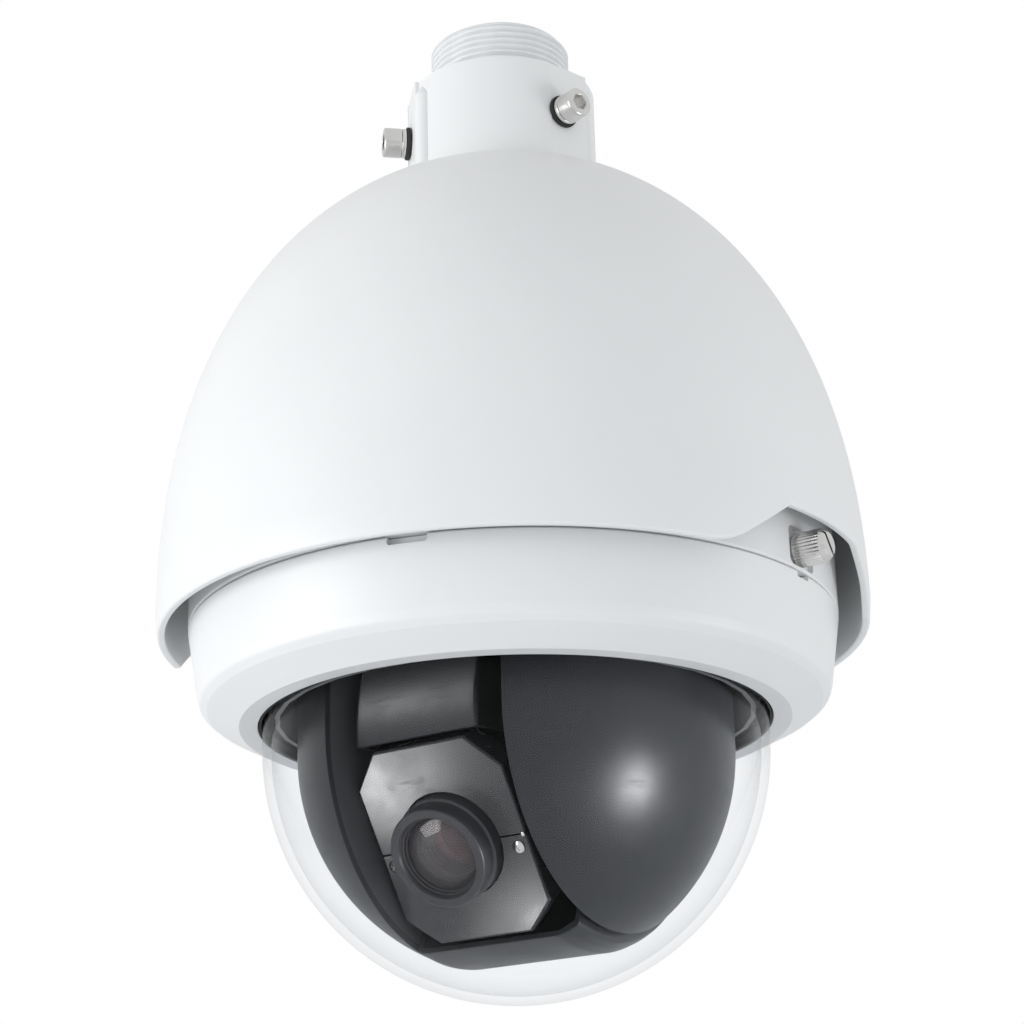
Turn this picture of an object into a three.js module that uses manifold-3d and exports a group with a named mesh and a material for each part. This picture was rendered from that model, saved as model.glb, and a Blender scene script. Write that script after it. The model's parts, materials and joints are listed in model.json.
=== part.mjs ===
// A pendant dome camera that pans, tilts and zooms, in millimetres, +Z up.
// The origin is the centre of the pipe thread's end face, and the camera hangs below it.
// Inside the camera group, heights are measured from the plane of the dome opening.
// An azimuth turns from the front (-Y) towards +X.
import * as THREE from "three";
import { mergeVertices } from "three/addons/utils/BufferGeometryUtils.js";
import Module from "manifold-3d";

const wasm = await Module();
wasm.setup();

const DEG = Math.PI / 180;
const TURN = 2 * Math.PI;
const GAP = 0.3;
const ROUND = 32;
const SMALL_ROUND = 12;
const OVERSHOOT = 1;
const SPHERE_STEPS = 8;

// Overall heights.
const THREAD_TOP = 242.5;
const COLLAR_TOP = 223;
const COLLAR_BASE = 186;
const SEAM = 30.5;

// Shell of revolution: a superellipse shared by the sun shield and the housing under it.
const SHELL_POWER = 2.2;
const SHELL_STEPS = 7;
const SHIELD = { radius: 113.1, waist: 35, rise: 155, wall: 2.4, lip: 27.8, lipRadius: 112.3 };
const SHIELD_LAND_RADIUS = 41;
const SHIELD_HOLE_RADIUS = 31;
const HOUSING = { radius: 102.9, waist: 45, rise: 136, wall: 3.5 };
const HUB_RADIUS = 30;
const CABLE_BORE = 20.5;

// Thumbscrews and the notches that reach them.
const THUMBSCREW_AZIMUTHS = [57, -123];
const THUMBSCREW_HEIGHT = 37.6;
const THUMBSCREW_HEAD = { radius: 5.2, from: 101.2, to: 112, ribs: 24, rib: 0.35 };
const THUMBSCREW_SHANK = { radius: 2, from: 93 };
const NOTCH = { topHeight: 43.8, topHalf: 22, bottomHalf: 45 };
const POCKET = { flat: 100.9, halfWidth: 7.5, low: 31.8, high: 44 };

// Neck: 1 1/2 inch parallel pipe thread in a clamped collar.
const THREAD = { crest: 23.9, root: 22.5, pitch: 2.309, turns: 7, bore: 19 };
const SPIGOT = { radius: 25.5, low: 199.5, high: 222.6 };
const COLLAR_RADIUS = 32.2;
const COLLAR_FLAT = { reach: 31.6, inner: 22, left: -4.7, right: 11.6 };
const COLLAR_RIB = { radius: 3.6, at: 30.8, offset: 24, low: 196, shoulder: 216.5, high: 220.5 };
const COLLAR_SCREW_AZIMUTHS = [-80, 40, 160];
const COLLAR_SCREW = { height: 205.5, shank: 3, head: 5, headLength: 6, inner: 26.4, socket: 2.9 };
const SEAL_WASHER = { outer: 5.6, thickness: 1.4 };
const SPRING_WASHER = { outer: 5, thickness: 1.5, split: 1 };
const SHIELD_SCREW = { azimuths: [61, -59, 181], at: 36.5, head: 4.1, rise: 2.7, shank: 1.9, depth: 9 };
const SHIELD_BOSS = { radius: 4, gap: 0.8 };

// Dome ring, bubble and what seals and clamps it.
const RING = { opening: 80.6, lipEdge: 86.8, edge: 97.2, side: 99.6, top: 102.9, inner: 96.4 };
const RING_SPIGOT = { radius: 99, top: 45 };
const BUBBLE = { radius: 79.2, centre: -6.2, wall: 2.8, flange: 89.5 };
const FLANGE = { low: 4.2, high: 7 };
const CLAMP = { inner: 80, outer: 94, low: 7.3, high: 9.8, bolt: 91.8 };
const CLAMP_SCREW_AZIMUTHS = [0, 120, 240];
const CLAMP_SCREW = { low: 4.2, shank: 1.4, head: 2.1, headHeight: 1.8 };
const BAFFLE = { low: 2.2, lowRadius: 75.6, high: 13.2, highRadius: 74, wall: 1.5, flange: 96 };
const PRY_SLOTS = [
  { azimuth: -16.5, width: 12, height: 2.5 },
  { azimuth: 163.5, width: 12, height: 2.5 },
  { azimuth: 57, width: 7, height: 1.8 },
  { azimuth: -123, width: 7, height: 1.8 },
];

// Pan drive.
const PAN_REST = -32.7;
const CHASSIS = { low: 80, high: 83, radius: 96, hole: 22 };
const STANDOFF = { x: 48, y: 32, radius: 4, top: 127.7 };
const TURNTABLE = { low: 58.2, high: 61.5, radius: 67.5, hub: 15.2, bore: 9, top: 90 };
const PAN_PULLEY = { radius: 30, low: 66, high: 74 };
const PAN_MOTOR = { azimuth: 180, at: 55, half: 17.5, corner: 4, height: 26, boss: 7 };
const SLIP_RING = { inner: 24, outer: 26.5, foot: 30, ceiling: 95.8, roof: 98.5, neck: 14, top: 120 };
const SLIP_RING_ROTOR = { low: 64, high: 95.3 };
const POWER_BOARD = { halfX: 38, halfY: 28, low: 150, legX: 33, legY: 24 };
const PAN_MOTOR_PULLEY_RADIUS = 8.5;
const MOTOR_SHAFT_RADIUS = 2.5;
const BELT_WALL = 1.3;

// Rotating head: a ball in two halves with a slot between them, wider on the right of the lens.
const BALL = { radius: 68.3, centre: -8.3, wall: 2.2, left: 27.2, right: 33.6, top: 57.9 };
const ARM = { inner: 34.2, thickness: 2.5, radius: 54.2 };
const AXLE = { radius: 6, flange: 10 };
const TILT_PULLEY = { radius: 22, inner: 39.2, width: 4.6 };
const TILT_MOTOR = { height: 36, radius: 13, inner: 45.2, outer: 61, ear: 21, post: 18 };
const TILT_MOTOR_PULLEY_RADIUS = 7;

// Tilting camera: forward is local -Y and the tilt axis is local X.
const TILT_REST = 34.1;
const FACE = { at: 49.5, plate: 2.2, depth: 9.5, half: 26, endHalf: 16.3, wall: 2 };
const FACE_HEIGHTS = { top: 23.9, upper: 13, lower: -30.3, bottom: -39.1 };
const LENS_HEIGHT = -8.5;
const SPLIT_GAP = 0.4;
const COVER_SCREW = { x: 22.2, below: 3.7, head: 2, shank: 1.1 };
const HOOD = { radius: 55, wall: 1.8, half: 22, from: 27.2, sideFrom: 30, to: 112, core: 24 };
const DRUM = { radius: 64.2, wall: 1.8, left: 26.4, right: 31, from: -42, to: -165, core: 12 };
const MODULE = { half: 19, back: -28, front: 46.5, top: 13, bottom: -29, bore: 10.5, boreBack: 5 };
const BARREL = { base: 16.4, rim: 15.6, back: 46.9, step: 53, front: 59.5, mouth: 12.9, throat: 9.5 };
const FRONT_GLASS = { radius: 9.2, back: 47.2, rim: 49.4, crown: 52.1 };
const ZOOM_GROUP = { radius: 10, edge: 7, dish: 5, back: 22, front: 30 };

const PALETTE = {
  white: { color: 0xe9ebec, roughness: 0.45, metalness: 0 },
  steel: { color: 0xb9b6b2, roughness: 0.28, metalness: 1 },
  dark: { color: 0x35383b, roughness: 0.42, metalness: 0 },
  black: { color: 0x101112, roughness: 0.6, metalness: 0 },
  rubber: { color: 0x161616, roughness: 0.85, metalness: 0 },
  clear: { color: 0xf4f8fa, roughness: 0.04, metalness: 0 },
  optic: { color: 0x8c6470, roughness: 0.05, metalness: 0 },
  aluminium: { color: 0xc4c6c8, roughness: 0.4, metalness: 1 },
  board: { color: 0x1d5a38, roughness: 0.5, metalness: 0 },
};

// ---- helpers ----

// A closed geometry as a manifold solid, with its faces pointing out.
function solidOf(geometry) {
  const plain = geometry.index ? geometry.toNonIndexed() : geometry.clone();
  const bare = new THREE.BufferGeometry().setAttribute("position", plain.getAttribute("position"));
  const merged = mergeVertices(bare, 1e-4);
  const corners = [];
  const index = merged.index.array;
  for (let i = 0; i < index.length; i += 3) {
    const [a, b, c] = [index[i], index[i + 1], index[i + 2]];
    if (a !== b && b !== c && a !== c) corners.push([a, b, c]);
  }
  const build = (triangles) =>
    new wasm.Manifold(
      new wasm.Mesh({
        numProp: 3,
        vertProperties: merged.attributes.position.array,
        triVerts: new Uint32Array(triangles.flat()),
      }),
    );
  const made = build(corners);
  return made.volume() < 0 ? build(corners.map(([a, b, c]) => [a, c, b])) : made;
}

function geometryOf(solid) {
  const mesh = solid.getMesh();
  const positions = new Float32Array(mesh.numVert * 3);
  for (let i = 0; i < mesh.numVert; i++) {
    const from = i * mesh.numProp;
    positions.set(mesh.vertProperties.subarray(from, from + 3), i * 3);
  }
  const geometry = new THREE.BufferGeometry();
  geometry.setAttribute("position", new THREE.BufferAttribute(positions, 3));
  geometry.setIndex(new THREE.BufferAttribute(new Uint32Array(mesh.triVerts), 1));
  geometry.computeVertexNormals();
  return geometry;
}

const union = (...solids) => solids.reduce((a, b) => a.add(b));
const cut = (solid, ...tools) => tools.reduce((a, b) => a.subtract(b), solid);

// A profile of [radius, height] points turned about Z.
function turned(profile, segments = ROUND) {
  const points = profile.map(([r, z]) => new THREE.Vector2(r, z));
  return solidOf(new THREE.LatheGeometry(points, segments).rotateX(90 * DEG));
}

// The same for a ring, whose profile closes on itself.
const turnedRing = (profile, segments) => turned([...profile, profile[0]], segments);

const tube = (inner, outer, low, high, segments = SMALL_ROUND) =>
  turnedRing([[inner, low], [outer, low], [outer, high], [inner, high]], segments);

function rod(radius, low, high, segments = SMALL_ROUND) {
  const geometry = new THREE.CylinderGeometry(radius, radius, high - low, segments);
  return solidOf(geometry.rotateX(90 * DEG).translate(0, 0, (low + high) / 2));
}

// A box between two corners.
function block([x0, y0, z0], [x1, y1, z1]) {
  const geometry = new THREE.BoxGeometry(x1 - x0, y1 - y0, z1 - z0);
  return solidOf(geometry.translate((x0 + x1) / 2, (y0 + y1) / 2, (z0 + z1) / 2));
}

const vector = (x, y, z) => new THREE.Vector3(x, y, z);
const basis = (x, y, z) => new THREE.Matrix4().makeBasis(vector(...x), vector(...y), vector(...z));
const FORWARD = basis([1, 0, 0], [0, 0, 1], [0, -1, 0]);
const SIDEWAYS = basis([0, -1, 0], [0, 0, 1], [-1, 0, 0]);
const ALONG_X = basis([0, 1, 0], [0, 0, 1], [1, 0, 0]);
const translation = (x, y, z) => new THREE.Matrix4().makeTranslation(x, y, z);

// A flat outline pushed from one distance to another, along Z or along a basis's third axis.
function pushed(shape, from, to, matrix = null) {
  const options = { depth: to - from, bevelEnabled: false, curveSegments: 8 };
  const geometry = new THREE.ExtrudeGeometry(shape, options).translate(0, 0, from);
  return solidOf(matrix ? geometry.applyMatrix4(matrix) : geometry);
}

const outline = (points) => new THREE.Shape(points.map(([x, y]) => new THREE.Vector2(x, y)));

// Moves a solid by a matrix.
const moved = (solid, matrix) => solidOf(geometryOf(solid).applyMatrix4(matrix));

// A solid built along Z with its outer end up, laid along the radius at an azimuth and a height.
function radial(solid, azimuth, height = 0) {
  const turn = new THREE.Matrix4().makeRotationZ(azimuth * DEG);
  const lift = translation(0, 0, height);
  return moved(solid, lift.multiply(turn).multiply(new THREE.Matrix4().makeRotationX(90 * DEG)));
}

// A solid built about Z, carried out to a radius at an azimuth.
function carried(solid, azimuth, radius) {
  const [x, y] = polar(azimuth, radius);
  return moved(solid, translation(x, y, 0));
}

const polar = (azimuth, radius) => [radius * Math.sin(azimuth * DEG), -radius * Math.cos(azimuth * DEG)];

// A box that reaches from one radius to another at an azimuth.
function radialBlock(azimuth, [left, right], [inner, outer], [low, high]) {
  const made = block([left, -outer, low], [right, -inner, high]);
  return moved(made, new THREE.Matrix4().makeRotationZ(azimuth * DEG));
}

function addMesh(parent, name, solid, look) {
  const mesh = new THREE.Mesh(geometryOf(solid), new THREE.MeshStandardMaterial(PALETTE[look]));
  mesh.name = name;
  parent.add(mesh);
  return mesh;
}

// ---- superellipse shell ----

const shellHeight = ({ radius, waist, rise }, r) =>
  waist + rise * (1 - (r / radius) ** SHELL_POWER) ** (1 / SHELL_POWER);
const shellRadius = ({ radius, waist, rise }, z) =>
  radius * (1 - ((z - waist) / rise) ** SHELL_POWER) ** (1 / SHELL_POWER);

// Points of a shell from its waist up to a given radius.
function shellArc(shell, endRadius, steps) {
  const last = Math.acos((endRadius / shell.radius) ** (SHELL_POWER / 2));
  return Array.from({ length: steps + 1 }, (_, i) => {
    const angle = (last * i) / steps;
    const power = 2 / SHELL_POWER;
    return [shell.radius * Math.cos(angle) ** power, shell.waist + shell.rise * Math.sin(angle) ** power];
  });
}

const inside = (shell) => ({ ...shell, radius: shell.radius - shell.wall, rise: shell.rise - shell.wall });
const LAND_HEIGHT = shellHeight(SHIELD, SHIELD_LAND_RADIUS);

// ---- neck ----

function threadAdaptor() {
  const thread = [];
  const start = THREAD_TOP - 0.8 - THREAD.turns * THREAD.pitch;
  for (let i = 0; i < THREAD.turns; i++) {
    const low = start + i * THREAD.pitch;
    thread.push([THREAD.root, low], [THREAD.crest, low + THREAD.pitch / 2]);
  }
  return turnedRing(
    [
      [THREAD.bore, SPIGOT.low],
      [SPIGOT.radius, SPIGOT.low],
      [SPIGOT.radius, SPIGOT.high],
      [THREAD.root, SPIGOT.high],
      ...thread,
      [THREAD.root, THREAD_TOP],
      [THREAD.bore, THREAD_TOP],
    ],
    32,
  );
}

function neckCollar() {
  let made = rod(COLLAR_RADIUS, COLLAR_BASE, COLLAR_TOP, ROUND);
  const { reach, inner, left, right } = COLLAR_FLAT;
  const span = [COLLAR_BASE - OVERSHOOT, COLLAR_TOP + OVERSHOOT];
  for (const azimuth of COLLAR_SCREW_AZIMUTHS) {
    const rib = turned(
      [
        [0, COLLAR_RIB.low],
        [COLLAR_RIB.radius, COLLAR_RIB.low],
        [COLLAR_RIB.radius, COLLAR_RIB.shoulder],
        [0.4 * COLLAR_RIB.radius, COLLAR_RIB.high],
        [0, COLLAR_RIB.high],
      ],
      SMALL_ROUND,
    );
    made = cut(made, radialBlock(azimuth, [left, right + 6], [reach, reach + 10], span));
    made = made.add(radialBlock(azimuth, [left, right], [inner, reach], [COLLAR_BASE, COLLAR_TOP]));
    made = made.add(carried(rib, azimuth + COLLAR_RIB.offset, COLLAR_RIB.at));
  }
  made = cut(made, rod(CABLE_BORE, COLLAR_BASE - OVERSHOOT, COLLAR_TOP + OVERSHOOT, 32));
  made = cut(made, rod(SPIGOT.radius + GAP, SPIGOT.low - GAP, COLLAR_TOP + OVERSHOOT, 32));
  for (const azimuth of COLLAR_SCREW_AZIMUTHS) {
    const hole = rod(COLLAR_SCREW.shank + GAP, SPIGOT.radius - OVERSHOOT, reach + 8);
    made = cut(made, radial(hole, azimuth, COLLAR_SCREW.height));
  }
  return made;
}

const washerStart = COLLAR_FLAT.reach + GAP;
const springStart = washerStart + SEAL_WASHER.thickness + 0.1;
const headStart = springStart + SPRING_WASHER.thickness + 0.1;

function collarScrew() {
  const { shank, head, headLength, inner, socket } = COLLAR_SCREW;
  const end = headStart + headLength;
  const bevel = 0.5;
  const made = turned([
    [0, inner],
    [shank, inner],
    [shank, headStart],
    [head, headStart],
    [head, end - bevel],
    [head - bevel, end],
    [0, end],
  ], SMALL_ROUND);
  return cut(made, rod(socket, end - 3, end + OVERSHOOT, 6));
}

const sealWasher = () =>
  tube(COLLAR_SCREW.shank + GAP, SEAL_WASHER.outer, washerStart, washerStart + SEAL_WASHER.thickness);

function springWasher() {
  const high = springStart + SPRING_WASHER.thickness;
  const ring = tube(COLLAR_SCREW.shank + GAP, SPRING_WASHER.outer, springStart, high);
  const half = SPRING_WASHER.split / 2;
  return cut(ring, block([-half, 0, springStart - OVERSHOOT], [half, 8, high + OVERSHOOT]));
}

function shieldScrew() {
  const { head, rise, shank, depth } = SHIELD_SCREW;
  const low = LAND_HEIGHT + 0.1;
  const made = turned([
    [0, low - depth],
    [shank, low - depth],
    [shank, low],
    [head, low],
    [head, low + 0.5 * rise],
    [0.75 * head, low + 0.88 * rise],
    [0.4 * head, low + rise],
    [0, low + rise],
  ], SMALL_ROUND);
  const top = low + rise;
  const slot = (x, y) => block([-x, -y, top - 1.2], [x, y, top + OVERSHOOT]);
  return cut(made, slot(1.8, 0.4), slot(0.4, 1.8));
}

// ---- shells ----

function sunShield() {
  const core = inside(SHIELD);
  const underLand = LAND_HEIGHT - SHIELD.wall;
  const profile = [
    [SHIELD.lipRadius, SHIELD.lip],
    [SHIELD.radius - 0.2, SHIELD.lip + 3],
    ...shellArc(SHIELD, SHIELD_LAND_RADIUS, SHELL_STEPS),
    [SHIELD_HOLE_RADIUS, LAND_HEIGHT],
    [SHIELD_HOLE_RADIUS, underLand],
    ...shellArc(core, shellRadius(core, underLand), SHELL_STEPS).reverse(),
    [SHIELD.lipRadius - SHIELD.wall, SHIELD.lip],
  ];
  const notch = outline([
    [-NOTCH.bottomHalf, SHIELD.lip - OVERSHOOT],
    [NOTCH.bottomHalf, SHIELD.lip - OVERSHOOT],
    [NOTCH.bottomHalf, SHIELD.lip],
    [NOTCH.topHalf, NOTCH.topHeight],
    [-NOTCH.topHalf, NOTCH.topHeight],
    [-NOTCH.bottomHalf, SHIELD.lip],
  ]);
  let made = turnedRing(profile);
  for (const azimuth of THUMBSCREW_AZIMUTHS) {
    const prism = pushed(notch, 60, SHIELD.radius + 10, FORWARD);
    made = cut(made, moved(prism, new THREE.Matrix4().makeRotationZ(azimuth * DEG)));
  }
  for (const azimuth of SHIELD_SCREW.azimuths) {
    const hole = rod(SHIELD_SCREW.shank + GAP, underLand - 5, LAND_HEIGHT + OVERSHOOT);
    made = cut(made, carried(hole, azimuth, SHIELD_SCREW.at));
  }
  return made;
}

function upperHousing() {
  const core = inside(HOUSING);
  const ledge = RING_SPIGOT.top + 2.8;
  const profile = [
    [HOUSING.radius, SEAM + GAP],
    ...shellArc(HOUSING, HUB_RADIUS, SHELL_STEPS),
    [HUB_RADIUS, COLLAR_BASE - GAP],
    [CABLE_BORE, COLLAR_BASE - GAP],
    ...shellArc(core, CABLE_BORE, SHELL_STEPS).reverse().slice(0, -1),
    [core.radius, ledge + 8],
    [core.radius - 3.4, ledge + 4],
    [core.radius - 3.4, ledge],
    [core.radius, ledge],
    [core.radius, SEAM + GAP],
  ];
  let made = turnedRing(profile);
  const bossTop = LAND_HEIGHT - SHIELD.wall - SHIELD_BOSS.gap;
  for (const azimuth of SHIELD_SCREW.azimuths) {
    const boss = rod(SHIELD_BOSS.radius, shellHeight(HOUSING, SHIELD_SCREW.at + 6), bossTop);
    const hole = rod(SHIELD_SCREW.shank + GAP, bossTop - 8, bossTop + OVERSHOOT);
    made = made.add(carried(boss, azimuth, SHIELD_SCREW.at));
    made = cut(made, carried(hole, azimuth, SHIELD_SCREW.at));
  }
  for (const azimuth of THUMBSCREW_AZIMUTHS) {
    const width = [-POCKET.halfWidth, POCKET.halfWidth];
    const hole = rod(THUMBSCREW_SHANK.radius + GAP, 90, 110);
    made = cut(made, radialBlock(azimuth, width, [POCKET.flat, 110], [POCKET.low, POCKET.high]));
    made = cut(made, radial(hole, azimuth, THUMBSCREW_HEIGHT));
  }
  return made;
}

function thumbscrew() {
  const { radius, from, to, ribs, rib } = THUMBSCREW_HEAD;
  const points = [];
  for (let i = 0; i < 2 * ribs; i++) {
    const angle = (TURN * i) / (2 * ribs);
    const r = i % 2 ? radius : radius - rib;
    points.push([r * Math.cos(angle), r * Math.sin(angle)]);
  }
  const head = pushed(outline(points), from, to - 1.2);
  const crown = turned([
    [0, to - 1.3],
    [radius - rib, to - 1.3],
    [radius - rib, to - 0.8],
    [radius - 1.2, to],
    [0, to],
  ], 24);
  const shank = rod(THUMBSCREW_SHANK.radius, THUMBSCREW_SHANK.from, from + OVERSHOOT);
  const slot = block([-0.6, -8, to - 1.8], [0.6, 8, to + OVERSHOOT]);
  const tilted = moved(slot, new THREE.Matrix4().makeRotationZ(40 * DEG));
  return cut(union(head, crown, shank), tilted);
}

// ---- dome ring and bubble ----

function domeRing() {
  const profile = [
    [RING.opening, 0],
    [RING.lipEdge - 0.6, 0],
    [RING.lipEdge, 0.3],
    [RING.edge - 0.8, 5],
    [RING.edge + 0.7, 6.1],
    [RING.side - 0.5, 7.6],
    [RING.side, 9.6],
    [RING.top, SEAM],
    [RING_SPIGOT.radius, SEAM],
    [RING_SPIGOT.radius, RING_SPIGOT.top],
    [RING.inner, RING_SPIGOT.top],
    [RING.inner, 12],
    [CLAMP.outer + 0.5, FLANGE.high],
    [BUBBLE.flange + GAP, FLANGE.high],
    [BUBBLE.flange + GAP, 3],
    [RING.opening, 3],
  ];
  let made = turnedRing(profile);
  for (const { azimuth, width, height } of PRY_SLOTS) {
    const across = [-width / 2, width / 2];
    made = cut(made, radialBlock(azimuth, across, [100, 110], [SEAM - height, SEAM + OVERSHOOT]));
  }
  for (const azimuth of THUMBSCREW_AZIMUTHS) {
    const hole = rod(THUMBSCREW_SHANK.radius + GAP, 90, 100.5);
    made = cut(made, radial(hole, azimuth, THUMBSCREW_HEIGHT));
  }
  for (const azimuth of CLAMP_SCREW_AZIMUTHS) {
    const hole = rod(CLAMP_SCREW.shank + GAP, CLAMP_SCREW.low - 0.4, FLANGE.high + OVERSHOOT);
    made = cut(made, carried(hole, azimuth, CLAMP.bolt));
  }
  return made;
}

// Points of a circle about a centre on the axis, from one angle below the level to another.
function sphereArc(radius, centre, from, to, steps) {
  return Array.from({ length: steps + 1 }, (_, i) => {
    const angle = (from + ((to - from) * i) / steps) * DEG;
    const r = Math.abs(angle + 90 * DEG) < 1e-9 ? 0 : radius * Math.cos(angle);
    return [r, centre + radius * Math.sin(angle)];
  });
}

function domeBubble() {
  const { radius, centre, wall, flange } = BUBBLE;
  const core = radius - wall;
  return turned([
    ...sphereArc(radius, centre, -90, 0, SPHERE_STEPS),
    [radius, FLANGE.low],
    [flange, FLANGE.low],
    [flange, FLANGE.high - 0.2],
    [core, FLANGE.high - 0.2],
    ...sphereArc(core, centre, 0, -90, SPHERE_STEPS),
  ]);
}

function domeGasket() {
  const inner = BUBBLE.radius + GAP;
  return turnedRing([
    [inner, 0.3],
    [RING.opening - GAP, 0.3],
    [RING.opening - GAP, 3.3],
    [BUBBLE.flange - GAP, 3.3],
    [BUBBLE.flange - GAP, FLANGE.low - 0.3],
    [inner, FLANGE.low - 0.3],
  ]);
}

function clampRing() {
  let made = tube(CLAMP.inner, CLAMP.outer, CLAMP.low, CLAMP.high, ROUND);
  for (const azimuth of CLAMP_SCREW_AZIMUTHS) {
    const hole = rod(CLAMP_SCREW.shank + GAP, CLAMP.low - OVERSHOOT, CLAMP.high + OVERSHOOT);
    made = cut(made, carried(hole, azimuth, CLAMP.bolt));
  }
  return made;
}

function clampScrew() {
  const { low, shank, head, headHeight } = CLAMP_SCREW;
  const seat = CLAMP.high + 0.1;
  const profile = [
    [0, low],
    [shank, low],
    [shank, seat],
    [head, seat],
    [head, seat + headHeight],
    [0, seat + headHeight],
  ];
  return turned(profile, 8);
}

function domeBaffle() {
  const { low, lowRadius, high, highRadius, wall, flange } = BAFFLE;
  return turnedRing([
    [lowRadius, low],
    [highRadius, high],
    [flange, high],
    [flange, high + wall],
    [highRadius - wall, high + wall],
    [lowRadius - wall, low],
  ]);
}

const housingSeal = () =>
  tube(RING.inner + 0.3, RING_SPIGOT.radius, RING_SPIGOT.top + GAP, RING_SPIGOT.top + 2.5, ROUND);

// ---- chassis, boards and pan drive ----

const PAN_MOTOR_AT = polar(PAN_MOTOR.azimuth, PAN_MOTOR.at);

function chassisPlate() {
  let made = tube(CHASSIS.hole, CHASSIS.radius, CHASSIS.low, CHASSIS.high, ROUND);
  for (const x of [-STANDOFF.x, STANDOFF.x]) {
    for (const y of [-STANDOFF.y, STANDOFF.y]) {
      const post = rod(STANDOFF.radius, CHASSIS.high - OVERSHOOT, STANDOFF.top, 12);
      made = made.add(moved(post, translation(x, y, 0)));
    }
  }
  const shaftHole = rod(6, CHASSIS.low - OVERSHOOT, CHASSIS.high + OVERSHOOT);
  return cut(made, carried(shaftHole, PAN_MOTOR.azimuth, PAN_MOTOR.at));
}

function panMotor() {
  const low = CHASSIS.high + GAP;
  const { half, corner, height, boss } = PAN_MOTOR;
  const top = low + height;
  const shape = outline([
    [half - corner, -half],
    [half, corner - half],
    [half, half - corner],
    [half - corner, half],
    [corner - half, half],
    [-half, half - corner],
    [-half, corner - half],
    [corner - half, -half],
  ]);
  return union(pushed(shape, low, top), rod(boss, top - OVERSHOOT, top + 3));
}

const pulley = (bore, radius, low, high) => tube(bore, radius - GAP, low, high, 16);

function shaftAndPulley(radius, low, high, shaftEnd) {
  return union(rod(radius - GAP, low, high, 16), rod(MOTOR_SHAFT_RADIUS, low, shaftEnd));
}

// A belt round two pulleys on the X axis, the first at the origin.
function belt(first, second, distance, low, high) {
  const lean = Math.asin((first - second) / distance);
  const loop = (grow, path) => {
    path.absarc(0, 0, first + grow, 90 * DEG - lean, 270 * DEG + lean, false);
    path.absarc(distance, 0, second + grow, -90 * DEG + lean, 90 * DEG - lean, false);
    path.closePath();
    return path;
  };
  const shape = loop(BELT_WALL, new THREE.Shape());
  shape.holes.push(loop(0, new THREE.Path()));
  return pushed(shape, low, high);
}

const panBearing = () => tube(TURNTABLE.hub + GAP, CHASSIS.hole - GAP, CHASSIS.low - 1, CHASSIS.high + 1, 24);

function slipRingHousing() {
  const low = CHASSIS.high + GAP;
  const { inner, outer, foot, ceiling, roof, neck, top } = SLIP_RING;
  const profile = [
    [0, ceiling],
    [inner, ceiling],
    [inner, low],
    [foot, low],
    [foot, low + 2.5],
    [outer, low + 2.5],
    [outer, roof],
    [neck, roof],
    [neck, top],
    [0, top],
  ];
  return turned(profile, 16);
}

// A circuit board with its main parts standing on it.
function circuitBoard(halfX, halfY, low, parts) {
  const board = block([-halfX, -halfY, low], [halfX, halfY, low + 1.6]);
  return parts.reduce(
    (made, [x, y, sizeX, sizeY, height]) =>
      made.add(block([x, y, low + 1], [x + sizeX, y + sizeY, low + 1.6 + height])),
    board,
  );
}

const mainBoard = () =>
  circuitBoard(54, 38, STANDOFF.top + GAP, [
    [-12, -12, 24, 24, 3],
    [17, -30, 10, 26, 9],
    [-28, 12, 14, 12, 2],
    [-53, -30, 12, 22, 10],
    [14, 10, 12, 12, 2],
  ]);

function powerBoard() {
  const { halfX, halfY, low, legX, legY } = POWER_BOARD;
  let made = circuitBoard(halfX, halfY, low, [
    [-30, -20, 16, 20, 12],
    [-6, -18, 14, 14, 9],
    [14, -8, 16, 22, 7],
  ]);
  for (const x of [-legX, legX]) {
    for (const y of [-legY, legY]) {
      const leg = rod(2.5, STANDOFF.top + 2.2, low + OVERSHOOT, 10);
      made = made.add(moved(leg, translation(x, y, 0)));
    }
  }
  return made;
}

// ---- rotating head ----

function turntable() {
  return turnedRing([
    [TURNTABLE.bore, TURNTABLE.low],
    [TURNTABLE.radius, TURNTABLE.low],
    [TURNTABLE.radius, TURNTABLE.high],
    [TURNTABLE.hub, TURNTABLE.high],
    [TURNTABLE.hub, TURNTABLE.top],
    [TURNTABLE.bore, TURNTABLE.top],
  ], ROUND);
}

function cheek(side) {
  const core = BALL.radius - BALL.wall;
  const shell = turned([
    ...sphereArc(BALL.radius, BALL.centre, -90, 0, SPHERE_STEPS),
    [BALL.radius, BALL.top],
    [core, BALL.top],
    ...sphereArc(core, BALL.centre, 0, -90, SPHERE_STEPS),
  ]);
  const [near, far] = side > 0 ? [BALL.right, 80] : [-80, -BALL.left];
  return shell.intersect(block([near, -80, -90], [far, 80, 70]));
}

function yokeArm(side) {
  const shape = new THREE.Shape();
  shape.moveTo(-ARM.radius, BALL.top);
  shape.lineTo(-ARM.radius, BALL.centre);
  shape.absarc(0, BALL.centre, ARM.radius, 180 * DEG, 360 * DEG, false);
  shape.lineTo(ARM.radius, BALL.top);
  shape.closePath();
  const near = side > 0 ? ARM.inner : -ARM.inner - ARM.thickness;
  const plate = pushed(shape, near, near + ARM.thickness, ALONG_X);
  const hole = moved(rod(AXLE.radius + GAP, -80, 80), ALONG_X);
  return cut(plate, moved(hole, translation(0, 0, BALL.centre)));
}

// A solid built about Z, laid along -X at a height.
const leftward = (solid, height) => moved(solid, translation(0, 0, height).multiply(SIDEWAYS));

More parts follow.
